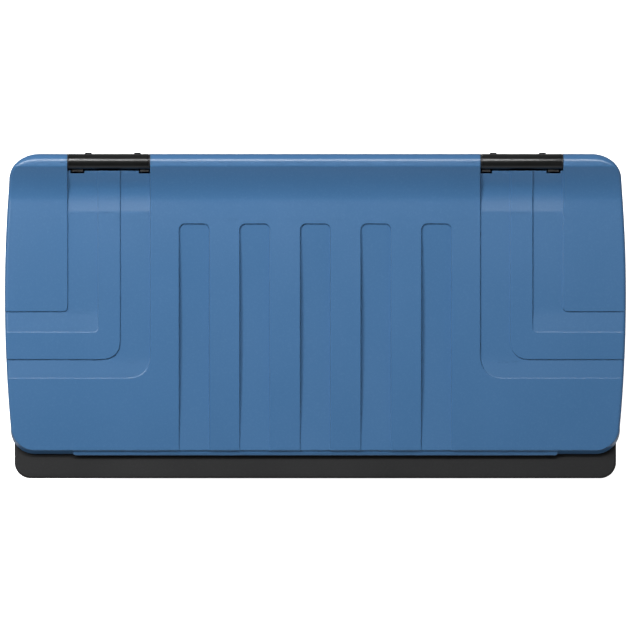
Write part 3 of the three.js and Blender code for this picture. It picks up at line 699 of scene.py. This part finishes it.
def lid_foot(shape):
    """The narrow flat underside of the skirt."""
    outline, _ = lid_outline()
    foot = offset(outline, -flare(outline[:, 1]), closed=True)
    rows = [loop(offset(foot, inward, closed=True)) for inward in (FOOT_EDGE, SKIN - FOOT_EDGE)]
    outline = loop(outline)
    count = len(outline)
    faces = []
    for i in range(count - 1):
        if abs(outline[i] + outline[i + 1])[0] / 2 > CORNER_WRAP or outline[i][1] < 0:
            faces.append((i, i + count, i + count + 1, i + 1))
    shape.add(raised(np.concatenate(rows), LID_FOOT), faces)


def roll_lips(shape):
    """The front edge of the roll's lower half, in each stretch beside the hinge pockets."""
    inner, outer = POCKET["inner"], POCKET["outer"]
    for x0, x1 in ((-CORNER_WRAP, -outer), (-inner, inner), (outer, CORNER_WRAP)):
        line = spaced((x0, AXIS_Y), (x1, AXIS_Y), 12)
        shape.grid([raised(line, AXIS_Z - ROLL + down) for down in (0, SKIN)])


def corner_webs(shape):
    """The thin walls that close the ends of the corner skirts under the roll."""
    for sign in (-1, 1):
        x0, x1 = sorted((sign * CORNER_WRAP, sign * (CORNER_WRAP + SKIN)))
        plan = rounded_rectangle(AXIS_Y, LID_REAR - 0.1, LID_FOOT, AXIS_Z, WEB_EDGE)
        rounded_plate(shape, plan, x0, x1, WEB_EDGE, lambda row: row[:, [2, 0, 1]], 2)


def pocket_ends():
    """Both ends of both pockets: the side of the object, the distance from its middle, and the way out."""
    return [(sign, *end) for sign in (-1, 1) for end in ((POCKET["outer"], 1), (POCKET["inner"], -1))]


def pocket_feet(shape):
    """The lower edges of the plates at the ends of each pocket."""
    for sign, x, away in pocket_ends():
        x0, x1 = sign * (x - away * WALL["lean"]), sign * (x + away * (SKIN - WALL["lean"]))
        shape.grid([[(x, y, AXIS_Z - ROLL) for x in (x0, x1)] for y in (POCKET["floor_end"], AXIS_Y)])


def drooped(row):
    """The grip's points, lowered the further they stand out."""
    return row - np.outer(GRIP["droop"] * np.maximum(0, LID_FRONT - row[:, 1]), (0, 0, 1))


def lid_grip(shape):
    """The lip along the front by which the lid is lifted."""
    plan = rounded_rectangle(-GRIP["half"], GRIP["half"], LID_LOW[1], LID_FRONT + SKIN, GRIP["corner"])
    rounded_plate(shape, plan, GRIP["bottom"], GRIP["top"], GRIP["edge"], drooped)


def lid_bosses(shape):
    """The sleeves inside the lid that hold the bushes."""
    for sign, x, away in pocket_ends():
        near, far = sign * (x + away * SKIN), sign * (x + away * (SKIN + BOSS["length"]))
        section = eased(ring_section(near, far, BOSS["bore"], BOSS["radius"]), BOSS["edge"])
        turned(shape, section, (AXIS_Y, AXIS_Z), "X")


def lid_shape():
    """The whole lid."""
    shape = Shape()
    for grow in (0.0, SKIN):
        plan = LidPlan(grow)
        xy, faces = triangulate(plan.lines(), plan.points(), plan.keep)
        if grow:
            faces = faces[:, ::-1]
        start = shape.add(raised(xy, plan.heights(xy)), faces)
        plan.hang_edges(shape, [(start + a, start + b) for a, b in rim_edges(faces)])
    for part in (lid_foot, roll_lips, corner_webs, pocket_feet, lid_grip, lid_bosses):
        part(shape)
    return shape


# ---------- the tub ----------
def body_outline():
    """The outline of the tub's body under the rim, starting and ending at the middle of the rear wall."""
    x, front, rear, r = BODY_TOP["x"], BODY_TOP["front"], BODY_TOP["rear"], BODY_CORNER
    half = chain(
        spaced((0, rear), (r - x, rear), 12),
        arc((r - x, rear - r), (r, r), 90, 180),
        spaced((-x, rear - r), (-x, front + r), 12),
        arc((r - x, front + r), (r, r), 180, 270),
        spaced((r - x, front), (0, front), 12),
    )
    return chain(half, mirrored(half)[1:])


class BodyWall:
    """The tub's wall unrolled: distance along the outline, and height."""

    def __init__(self, inset):
        self.inset = inset
        self.outline = body_outline()
        self.normals = left_normals(self.outline)
        self.normals[[0, -1]] = (0, -1)
        steps = np.linalg.norm(np.diff(self.outline, axis=0), axis=1)
        self.lengths = np.concatenate([[0], np.cumsum(steps)])
        if inset:
            self.low, self.edge, self.high = FLOOR_TOP, FLOOR_FILLET, RIM_TOP - TUB_WALL
        else:
            self.low, self.edge, self.high = FOOT_HEIGHT, BODY_EDGE, RIM_FOOT + 2
        self.swages = [self.swage_line(*place) for place in self.swage_places()]

    def swage_places(self):
        """The middle of each swage along the outline, and its half width."""
        ends, sides = (BODY_TOP["front"], BODY_TOP["rear"]), (-BODY_TOP["x"], BODY_TOP["x"])
        places = [((x, y), RIB["half"]) for x in rib_middles() for y in ends]
        places += [((x, y), SWAGE_SIDE["half"]) for x in sides for y in SWAGE_SIDE["ys"]]
        found = []
        for place, half in places:
            _, along = side_of(np.array([place], float), self.outline)
            middle = float(np.interp(along[0], range(len(self.lengths)), self.lengths))
            found.append((middle, half))
            if place == (0.0, BODY_TOP["rear"]):
                found.append((self.lengths[-1] if middle < 1 else 0.0, half))
        return found

    def swage_line(self, middle, half):
        """The edge of a swage on the unrolled wall."""
        half = half + self.inset
        low, high = SWAGE["low"] - self.inset, SWAGE["high"] + self.inset
        return rounded_rectangle(middle - half, middle + half, low, high, SWAGE["corner"] + self.inset, 10)

    def swaged(self, sz):
        """How far each unrolled point is inside a swage."""
        return np.max([inside_of(sz, line, closed=True) for line in self.swages], axis=0)

    def places(self, sz):
        """Unrolled points as places in the object."""
        at = np.interp(sz[:, 0], self.lengths, range(len(self.lengths)))
        along = range(len(self.outline))
        xy, normal = (
            np.column_stack([np.interp(at, along, line[:, i]) for i in (0, 1)])
            for line in (self.outline, self.normals)
        )
        normal /= np.linalg.norm(normal, axis=1, keepdims=True)
        z = sz[:, 1]
        share = np.clip((z - FOOT_HEIGHT) / (RIM_FOOT - FOOT_HEIGHT), 0, 1)
        back = (xy[:, 1] - BODY_TOP["front"]) / (BODY_TOP["rear"] - BODY_TOP["front"])
        foot_y = BODY_FOOT["front"] + back * (BODY_FOOT["rear"] - BODY_FOOT["front"])
        foot = np.column_stack([xy[:, 0] * BODY_FOOT["x"] / BODY_TOP["x"], foot_y])
        xy = foot + (xy - foot) * share[:, None]
        sunk = recess(self.swaged(sz), np.full(len(sz), SWAGE["depth"]), SWAGE_WALL)
        down = np.clip((self.low + self.edge - z) / self.edge, 0, 1)
        sunk = sunk + self.edge * (1 - np.sqrt(1 - down**2)) + self.inset
        return raised(xy + normal * sunk[:, None], z)

    def keep(self, sz):
        """Whether each unrolled point is on the wall."""
        s, z = sz[:, 0], sz[:, 1]
        return (s > 0) & (s < self.lengths[-1]) & (z > self.low) & (z < self.high)

    def add_to(self, shape):
        """Adds the wall, facing outwards, or inwards for the inner side."""
        angles = np.radians((0, 12, 24, 38, 54, 72, 90))
        heights = [*(self.low + self.edge * (1 - np.sin(angles))), self.low + self.edge + 4, self.high]
        lines = [raised(self.lengths, z) for z in heights]
        lines += [spaced((s, self.low), (s, self.high), 10) for s in (0, self.lengths[-1])]
        for line in self.swages:
            lines += recess_lines(line, SWAGE_WALL, closed=True)
        points = lattice(self.lengths[1:-1], np.arange(self.low + 40, self.high - 8, WALL_STEP))
        inside = self.swaged(points)
        sz, faces = triangulate(lines, points[(inside < -7) | (inside > 9)], self.keep)
        shape.add(self.places(sz), faces[:, ::-1] if self.inset else faces)

    def foot_ring(self):
        """The wall's lower edge in the plan."""
        return self.places(raised(self.lengths[:-1], self.low))[:, :2]


def flat_sheet(shape, z, outline, holes, points, up):
    """A flat sheet at a height, with holes."""

    def keep(xy):
        inside = inside_of(xy, outline, closed=True) > 0
        for hole in holes:
            inside &= inside_of(xy, hole, closed=True) < 0
        return inside

    xy, faces = triangulate([loop(line) for line in (outline, *holes)], points, keep)
    shape.add(raised(xy, z), faces if up else faces[:, ::-1])


def floors(shape):
    """The tub's floor from above and below, with the drain holes between them."""
    size = (DRAIN["radius"], DRAIN["radius"])
    drains = [arc((x, y), size, 0, 360, 15)[:-1] for x in (-DRAIN["x"], DRAIN["x"]) for y in DRAIN["ys"]]
    points = lattice(np.arange(-480, 481, FLOOR_STEP), np.arange(-200, 261, FLOOR_STEP))
    for inset, z in ((0.0, FOOT_HEIGHT), (TUB_WALL, FLOOR_TOP)):
        flat_sheet(shape, z, BodyWall(inset).foot_ring(), drains, points, inset > 0)
    for drain in drains:
        shape.grid([raised(drain, z) for z in (FLOOR_TOP, FOOT_HEIGHT)], closed=True)


def rim_outline(inset):
    """The outline of the tub's rim, moved inwards."""
    x = TUB_HIGH[0]
    return offset(rounded_rectangle(-x, x, TUB_LOW[1], TUB_HIGH[1], RIM_CORNER, 5), inset, closed=True)


def rim(shape):
    """The rim: its rounded top edge, its hanging lip and the hollow under it."""
    levels = [(TUB_WALL, RIM_TOP - TUB_WALL)]
    levels += [(TUB_WALL - across, RIM_FOOT + up) for across, up in RIM_BEVEL]
    levels += [(across, RIM_FOOT + up) for across, up in RIM_BEVEL[::-1]]
    angles = np.radians(np.linspace(0, 90, 8))
    levels += [(RIM_EDGE * (1 - math.cos(a)), RIM_TOP - RIM_EDGE * (1 - math.sin(a))) for a in angles]
    levels += [(RIM_EDGE + RIM_FLAT, RIM_TOP)]
    shape.grid([raised(rim_outline(inset), z) for inset, z in levels], closed=True)


def mouth_outline(inset):
    """The edge of the tub's mouth in the plan, anticlockwise, moved inwards."""
    r = MOUTH["corner"]
    right, front, rear = MOUTH["x"] - r, MOUTH["front"] + r, MOUTH["rear"] - r
    centres = ((right, rear), (-right, rear), (-right, front), (right, front))
    arcs = [arc(centre, (r, r), 90 * i, 90 * i + 90) for i, centre in enumerate(centres)]
    parts = []
    for before, after in zip(arcs[-1:] + arcs[:-1], arcs):
        parts += [spaced(before[-1], after[0], 12), after]
    return offset(chain(*parts)[:-1], inset, closed=True)


def coaming(shape):
    """The raised edge round the mouth, which follows the crowned lid."""
    edge = MOUTH["edge"]
    top = [(0.0, -edge), (edge * MIDWAY, -edge * MIDWAY), (edge, 0.0)]
    top += [(TUB_WALL - inset, under) for inset, under in top[::-1]]
    rows = [raised(mouth_ring(inset), RIM_TOP + up) for inset, up in COAMING_FOOT]
    rows += [raised(mouth_ring(inset), mouth_top(mouth_ring(inset)) + under) for inset, under in top]
    rows.append(raised(mouth_ring(TUB_WALL), RIM_TOP - TUB_WALL))
    shape.grid(rows, closed=True)


def mouth_ring(inset):
    """The mouth's outline, kept inside the tub at the rear."""
    return np.minimum(mouth_outline(inset), (np.inf, TUB_HIGH[1]))


def mouth_top(ring):
    """Height of the raised edge round the mouth."""
    return panel_height(ring[:, 1]) - MOUTH["below_panel"]


def tub_shape():
    """The whole tub."""
    shape = Shape()
    BodyWall(0.0).add_to(shape)
    BodyWall(TUB_WALL).add_to(shape)
    floors(shape)
    rim(shape)
    mouth = [mouth_outline(0.0)]
    flat_sheet(shape, RIM_TOP, rim_outline(RIM_EDGE + RIM_FLAT), mouth, [], True)
    flat_sheet(shape, RIM_TOP - TUB_WALL, rim_outline(TUB_WALL), mouth, [], False)
    coaming(shape)
    dx, dy = FOOT["length"] / 2, FOOT["width"] / 2
    for x, y in [(x, y) for x in (-FOOT["x"], FOOT["x"]) for y in FOOT["ys"]]:
        outline = rounded_rectangle(x - dx, x + dx, y - dy, y + dy, FOOT["corner"])
        rounded_plate(shape, outline, 0, FOOT_HEIGHT + FOOT["edge"], FOOT["edge"])
    return shape


def seal_shape():
    """The soft strip on top of the coaming."""
    low, high = box_mm("lid_seal")
    section = SEAL_HALF + [(SEAL_WIDTH - across, up) for across, up in SEAL_HALF[-2::-1]]
    rows = []
    for across, up in section:
        ring = np.clip(mouth_outline(across - SEAL_OVERHANG), (-np.inf, low[1]), (np.inf, high[1]))
        rows.append(raised(ring, mouth_top(ring) + SEAL_LIFT + up))
    shape = Shape()
    shape.grid(rows + rows[:1], closed=True)
    return shape


# ---------- the hinges ----------
def ring_section(near, far, bore, radius):
    """The section of a ring, as (distance along its axis, radius)."""
    return [(near, bore), (far, bore), (far, radius), (near, radius)]


def turned_piece(name, node, corners, along="X", edge=TURNED_EDGE, count=48, body="tub_body"):
    """A turned part in the place of a CAD node, from a closed profile of (distance along, radius)."""
    x, y, z = sum(box_mm(node)) / 2
    shape = Shape()
    turned(shape, eased(corners, edge), (y, z) if along == "X" else (x, z), along, count)
    piece(name, shape, node, body, sharp=50)


def hinge_tube(side):
    """The tube that lies in the pocket, in line with the lid's roll."""
    node = f"hinge_tube_{side}"
    low, high = box_mm(node)
    section = ring_section(low[0], high[0], TUBE["bore"], ROLL)
    turned_piece(f"tube_{side}", node, section, edge=TUBE["edge"], count=96)


def hinge_pin(side, sign):
    """The headed pin through the tube and both bushes, with a groove for its clip."""
    node = f"hinge_pin_{side}"
    near, far = sorted(abs(x[0]) for x in box_mm(node))
    groove = abs(sum(box_mm(f"pin_clip_{side}"))[0]) / 2
    radius, head, bevel, half = PIN["radius"], PIN["head"], PIN["head_bevel"], PIN["groove_half"]
    under = near + PIN["head_length"]
    outline = [(near, CORE), (near, head - bevel), (near + bevel, head), (under, head), (under, radius)]
    outline += [(groove - half, radius), (groove - half, PIN["groove"])]
    outline += [(groove + half, PIN["groove"]), (groove + half, radius)]
    outline += [(far - PIN["bevel"], radius), (far, PIN["tip"]), (far, CORE)]
    turned_piece(f"pin_{side}", node, [(sign * t, r) for t, r in outline][:: -sign])


def hinge_bush(side, sign, end):
    """One flanged bush, whose flange comes up to the end of the tube."""
    node = f"hinge_bush_{side}_{end}"
    away = 1 if end == "outer" else -1
    near, far = sorted(abs(x[0]) for x in box_mm(node))[::away]
    back = near + away * BUSH["flange"]
    near -= away * BUSH["reach"]
    bore, sleeve, rim_radius = BUSH["bore"], BUSH["sleeve"], ROLL - BUSH["under_roll"]
    outline = [(near, bore), (far, bore), (far, sleeve), (back, sleeve)]
    outline += [(back, rim_radius), (near, rim_radius)]
    corners = [(sign * t, r) for t, r in outline][:: -sign * away]
    turned_piece(f"bush_{side}_{end}", node, corners, edge=BUSH["edge"], body="lid_body")


def pin_clip(side):
    """The open spring ring in the pin's groove."""
    node = f"pin_clip_{side}"
    low, high = box_mm(node)
    section = loop(eased(ring_section(low[0], high[0], CLIP["inner"], CLIP["outer"]), CLIP["edge"]))
    rows = []
    for a in np.radians(np.linspace(CLIP["mouth"], 360 - CLIP["mouth"], 40)):
        across = (AXIS_Y, AXIS_Z) + section[:, 1:] * (math.cos(a), math.sin(a))
        rows.append(np.column_stack([section[:, 0], across]))
    shape = Shape()
    start = shape.grid(rows)
    count = len(section)
    shape.cap(start, count - 1)
    shape.cap(start + (len(rows) - 1) * count, count - 1, flip=True)
    piece(f"clip_{side}", shape, node, sharp=50)


def hexagon(shape, centre, y0, y1, bore=0.0):
    """A hexagon along Y, chamfered at y1, and at y0 too if it has a bore."""
    angles = np.arange(0, 360, 5.0)
    turn = np.radians(angles)
    half = HEXAGON["flats"] / 2
    reach = half / np.cos(np.radians((angles % 60) - 30))
    inner = half * HEXAGON["face"]
    sink = (reach - inner) * math.tan(math.radians(HEXAGON["chamfer"]))
    rings = [(inner, y0), (reach, y0 + sink)] if bore else [(reach, y0), (reach, y0)]
    rings += [(reach, y1 - sink), (inner, y1)]
    if bore:
        wide = bore + NUT_BEVEL
        rings += [(wide, y1), (bore, y1 - NUT_BEVEL), (bore, y0 + NUT_BEVEL), (wide, y0), rings[0]]
    rows = []
    for radius, y in rings:
        xs, zs = centre[0] + radius * np.sin(turn), centre[1] + radius * np.cos(turn)
        rows.append(np.column_stack([xs, np.broadcast_to(y, turn.shape), zs]))
    start = shape.grid(rows, closed=True)
    if not bore:
        shape.cap(start, len(angles))
        shape.cap(start + (len(rows) - 1) * len(angles), len(angles), flip=True)


def threaded_shank(low, high):
    """The profile of the bolt's shank under its head at high, with its thread down to low."""
    top, turn = high - BOLT["head"] + BOLT["tuck"], high - BOLT["plain"]
    pitch = BOLT["pitch"]
    profile = [(top, CORE), (top, BOLT["shank"]), (turn, BOLT["shank"])]
    while turn > low + pitch:
        profile += [(turn - pitch / 2, BOLT["root"]), (turn - pitch, BOLT["crest"])]
        turn -= pitch
    return np.array([*profile, (low, BOLT["end"]), (low, CORE)])


def fasteners(side, place):
    """One bolt with its nut and its two washers."""
    bolt, nut = f"hinge_bolt_{side}_{place}", f"hinge_nut_{side}_{place}"
    low, high = box_mm(bolt)
    centre = ((low + high) / 2)[[0, 2]]
    shape = Shape()
    hexagon(shape, centre, high[1] - BOLT["head"], high[1])
    turned(shape, threaded_shank(low[1], high[1]), centre, "Y", 24)
    piece(f"bolt_{side}_{place}", shape, bolt, sharp=28)
    low, high = box_mm(nut)
    shape = Shape()
    hexagon(shape, centre, low[1], high[1], NUT_BORE)
    piece(f"nut_{side}_{place}", shape, nut, sharp=28)
    for kind in ("plate_washer", "wall_washer"):
        node = f"{kind}_{side}_{place}"
        low, high = box_mm(node)
        corners = ring_section(low[1], high[1], WASHER["bore"], WASHER["radius"])
        turned_piece(f"{kind}_piece_{side}_{place}", node, corners[::-1], "Y")


# ---------- materials ----------
class Paint:
    """Builds the nodes of one material."""

    def __init__(self, name):
        self.material = bpy.data.materials.new(name)
        self.material.use_nodes = True
        self.tree = self.material.node_tree
        self.shader = self.tree.nodes["Principled BSDF"]
        self.place = self.node("ShaderNodeTexCoord").outputs["Object"]

    def node(self, kind, **values):
        """Adds a node."""
        made = self.tree.nodes.new(kind)
        for key, value in values.items():
            setattr(made, key, value)
        return made

    def link(self, source, target):
        """Joins two sockets."""
        self.tree.links.new(source, target)

    def noise(self, scale, detail=2.0):
        """Noise over the object, with scale in features per metre."""
        texture = self.node("ShaderNodeTexNoise")
        texture.inputs["Scale"].default_value = scale
        texture.inputs["Detail"].default_value = detail
        self.link(self.place, texture.inputs["Vector"])
        return texture.outputs["Fac"]

    def spread(self, value, low=0.0, high=1.0, start=0.3, end=0.7):
        """Maps a value onto a range."""
        ramp = self.node("ShaderNodeMapRange")
        for name, number in (("From Min", start), ("From Max", end), ("To Min", low), ("To Max", high)):
            ramp.inputs[name].default_value = number
        self.link(value, ramp.inputs["Value"])
        return ramp.outputs["Result"]

    def mix(self, share, a, b):
        """Mixes two colours, each a colour or a socket."""
        mixer = self.node("ShaderNodeMix", data_type="RGBA")
        for value, socket in ((share, mixer.inputs[0]), (a, mixer.inputs[6]), (b, mixer.inputs[7])):
            if isinstance(value, bpy.types.NodeSocket):
                self.link(value, socket)
            else:
                socket.default_value = (*value, 1.0)
        return mixer.outputs[2]

    def clouds(self, scale, detail, a, b):
        """Two colours in clouds."""
        return self.mix(self.spread(self.noise(scale, detail)), a, b)

    def bump(self, *layers):
        """Stacks bumps: each layer is a height, its strength and its depth in metres."""
        normal = None
        for height, strength, depth in layers:
            bump = self.node("ShaderNodeBump")
            bump.inputs["Strength"].default_value = strength
            bump.inputs["Distance"].default_value = depth
            self.link(height, bump.inputs["Height"])
            if normal:
                self.link(normal, bump.inputs["Normal"])
            normal = bump.outputs["Normal"]
        self.link(normal, self.shader.inputs["Normal"])

    def worn_edges(self, low, high):
        """A share that is high along convex edges, broken up by noise."""
        pointed = self.node("ShaderNodeNewGeometry").outputs["Pointiness"]
        edge = self.spread(pointed, 0.0, 1.0, low, high)
        broken = self.spread(self.noise(90, 4), 0.0, 1.0, 0.42, 0.62)
        product = self.node("ShaderNodeMath", operation="MULTIPLY")
        self.link(edge, product.inputs[0])
        self.link(broken, product.inputs[1])
        return product.outputs[0]

    def colour(self, socket):
        """Takes the colour from a socket."""
        self.link(socket, self.shader.inputs["Base Color"])

    def rough(self, low, high, scale, detail):
        """Roughness that wanders from low to high."""
        self.link(self.spread(self.noise(scale, detail), low, high), self.shader.inputs["Roughness"])

    def set(self, **values):
        """Sets constants, named with underscores for spaces."""
        for name, value in values.items():
            self.shader.inputs[name.replace("_", " ")].default_value = value


def moulded_plastic(name, colour, dark, light, roughness, grain, specular=0.5):
    """Matt moulded plastic: cloudy pigment, a fine grain and rubbed edges."""
    paint = Paint(name)
    cloud = paint.clouds(5, 3, dark, colour)
    fleck = paint.mix(paint.spread(paint.noise(280, 2), 0.0, 0.16, 0.5, 0.75), cloud, light)
    paint.colour(paint.mix(paint.worn_edges(0.53, 0.62), fleck, light))
    paint.rough(roughness - 0.01, roughness + 0.02, 8, 1)
    paint.bump((paint.noise(22, 2), 0.06, 0.0015), (paint.noise(480, 2), grain, 0.0002))
    paint.set(Specular_IOR_Level=specular)
    return paint.material


def powder_coat(name):
    """Black powder coat on steel, with orange peel."""
    paint = Paint(name)
    base = paint.clouds(30, 3, (0.0025, 0.0028, 0.0028), (0.005, 0.0053, 0.0055))
    paint.colour(paint.mix(paint.worn_edges(0.56, 0.66), base, (0.03, 0.03, 0.031)))
    paint.rough(0.26, 0.30, 12, 1)
    paint.bump((paint.noise(500, 1), 0.04, 0.0001))
    return paint.material


def zinc_steel(name):
    """Zinc-plated steel with its cloudy passivation."""
    paint = Paint(name)
    paint.colour(paint.clouds(160, 3, (0.42, 0.42, 0.40), (0.60, 0.61, 0.62)))
    paint.rough(0.24, 0.38, 500, 2)
    paint.bump((paint.noise(1500, 2), 0.15, 0.0001))
    paint.set(Metallic=1.0)
    return paint.material


def seal_rubber(name):
    """Matt black rubber."""
    paint = Paint(name)
    paint.colour(paint.clouds(120, 4, (0.008, 0.008, 0.008), (0.018, 0.018, 0.018)))
    paint.rough(0.72, 0.86, 300, 2)
    paint.bump((paint.noise(1100, 3), 0.3, 0.0002))
    return paint.material


def floor_white():
    """The studio's white floor, which glows a little."""
    paint = Paint("studio_floor")
    paint.colour(paint.clouds(2, 2, (0.90, 0.90, 0.90), (0.93, 0.93, 0.93)))
    paint.set(Roughness=0.9, Emission_Color=(1, 1, 1, 1), Emission_Strength=FLOOR_GLOW)
    return paint.material


def backdrop_white():
    """The white that stands behind the object from every side."""
    paint = Paint("studio_backdrop")
    paint.set(Base_Color=(0, 0, 0, 1), Emission_Color=(1, 1, 1, 1), Emission_Strength=1.0)
    return paint.material


# ---------- studio ----------
CAMERA = {"lens": 600.0, "sensor": 36.0, "width": 1.2145, "target": (-0.0007, 0.0011)}
LIGHTS = {
    "key": {"place": (-2.1, 1.7, 3.7), "size": (2.7, 0.9), "power": 148.0},
    "strip": {"place": (0.0, 2.0, 4.2), "size": (2.4, 0.34), "power": 110.0},
    "fill": {"place": (2.2, -1.6, 3.0), "size": (2.6, 2.6), "power": 3.0},
}
# How bright the sky is straight above, low at the rear and low in front.
SKY_TOP, SKY_REAR, SKY_FRONT = 0.10, 0.30, 0.76
FLOOR_GLOW = 1.0
REACH = 60.0


def stage(name, shape, material):
    """Adds a part of the studio that the object neither mirrors nor takes light from."""
    thing = mesh_object(name, shape, material)
    thing.visible_glossy = thing.visible_diffuse = False
    thing.visible_shadow = name == "floor"


def surroundings():
    """A large round floor, and a wide half-sphere over it that stands for white walls."""
    ring = arc((0, 0), (REACH, REACH), 0, 360, 5)[:-1]
    angles = np.radians(range(0, 91, 6))
    disc, dome = Shape(), Shape()
    disc.add(raised(ring, 0.0), [range(len(ring))])
    dome.grid([raised(ring * math.cos(a), REACH * math.sin(a)) for a in angles], closed=True)
    stage("floor", disc, floor_white())
    stage("backdrop", dome, backdrop_white())


def lights():
    """Soft lights that all point at the middle of the lid."""
    for name, spec in LIGHTS.items():
        light = bpy.data.lights.new(name, "AREA")
        light.shape = "RECTANGLE"
        light.size, light.size_y = spec["size"]
        light.energy = spec["power"]
        lamp = bpy.data.objects.new(name, light)
        lamp.location = spec["place"]
        aim = Vector((0, 0, cad_high.z)) - lamp.location
        lamp.rotation_euler = aim.to_track_quat("-Z", "Y").to_euler()
        bpy.context.scene.collection.objects.link(lamp)


def sky():
    """White light from all round: brightness falls with height, and from the front to the rear."""
    world = bpy.data.worlds.new("studio")
    world.use_nodes = True
    tree = world.node_tree
    direction = tree.nodes.new("ShaderNodeTexCoord").outputs["Generated"]
    part = tree.nodes.new("ShaderNodeSeparateXYZ")
    tree.links.new(direction, part.inputs[0])
    glow = tree.nodes.new("ShaderNodeMath")
    glow.operation = "MULTIPLY_ADD"
    glow.inputs[2].default_value = SKY_TOP
    ranges = (("Z", 0.5, 0.1, 0.0, 1.0), ("Y", 0.2, -0.9, SKY_REAR - SKY_TOP, SKY_FRONT - SKY_TOP))
    for socket, (axis, *numbers) in zip(glow.inputs, ranges):
        bright = tree.nodes.new("ShaderNodeMapRange")
        for name, value in zip(("From Min", "From Max", "To Min", "To Max"), numbers):
            bright.inputs[name].default_value = value
        tree.links.new(part.outputs[axis], bright.inputs["Value"])
        tree.links.new(bright.outputs["Result"], socket)
    tree.links.new(glow.outputs[0], tree.nodes["Background"].inputs["Strength"])
    tree.nodes["Background"].inputs["Color"].default_value = (1, 1, 1, 1)
    bpy.context.scene.world = world


def camera():
    """A camera straight above, so far up that the lid is seen almost without perspective."""
    lens = bpy.data.cameras.new("camera")
    lens.lens, lens.sensor_width = CAMERA["lens"], CAMERA["sensor"]
    distance = CAMERA["width"] * CAMERA["lens"] / CAMERA["sensor"]
    lens.clip_end = distance * 2
    eye = bpy.data.objects.new("camera", lens)
    eye.location = (*CAMERA["target"], cad_high.z + distance)
    bpy.context.scene.collection.objects.link(eye)
    bpy.context.scene.camera = eye
    bpy.context.scene.view_settings.view_transform = "Standard"


# ---------- the object ----------
BLUE = {"colour": (0.047, 0.135, 0.282), "dark": (0.043, 0.128, 0.269), "light": (0.10, 0.21, 0.39)}
DARK = {"colour": (0.011, 0.0112, 0.012), "dark": (0.0085, 0.0087, 0.0092), "light": (0.03, 0.03, 0.032)}
ACETAL = {"colour": (0.012, 0.012, 0.012), "dark": (0.010, 0.010, 0.010), "light": (0.03, 0.03, 0.03)}
FINISHES = {
    "lid_plastic": moulded_plastic("blue_plastic", **BLUE, roughness=0.31, grain=0.08),
    "tub_plastic": moulded_plastic("dark_plastic", **DARK, roughness=0.42, grain=0.2, specular=0.38),
    "black_steel": powder_coat("black_steel"),
    "zinc_steel": zinc_steel("zinc_steel"),
    "seal_rubber": seal_rubber("seal_rubber"),
    "bush_plastic": moulded_plastic("black_acetal", **ACETAL, roughness=0.40, grain=0.1),
}
# How the CAD nodes of each material slot begin.
SLOTS = {
    "black_steel": ("hinge_bracket", "hinge_tube", "hinge_bolt", "plate_washer"),
    "zinc_steel": ("hinge_pin", "pin_clip", "wall_washer", "hinge_nut"),
    "bush_plastic": ("hinge_bush",),
    "seal_rubber": ("lid_seal",),
    "lid_plastic": ("lid",),
    "tub_plastic": ("tub",),
}


def slot_of(node):
    """The material slot of a CAD node."""
    return next(slot for slot, starts in SLOTS.items() if node.startswith(starts))


for node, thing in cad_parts.items():
    thing.data.materials.clear()
    thing.data.materials.append(FINISHES[slot_of(node)])

piece("lid_moulding", lid_shape(), "lid", "lid_body")
piece("tub_moulding", tub_shape(), "tub")
piece("seal_strip", seal_shape(), "lid_seal")
for side, sign in (("left", -1), ("right", 1)):
    hinge_tube(side)
    hinge_pin(side, sign)
    pin_clip(side)
    for end in ("outer", "inner"):
        hinge_bush(side, sign, end)
        fasteners(side, end)
surroundings()
lights()
sky()
camera()
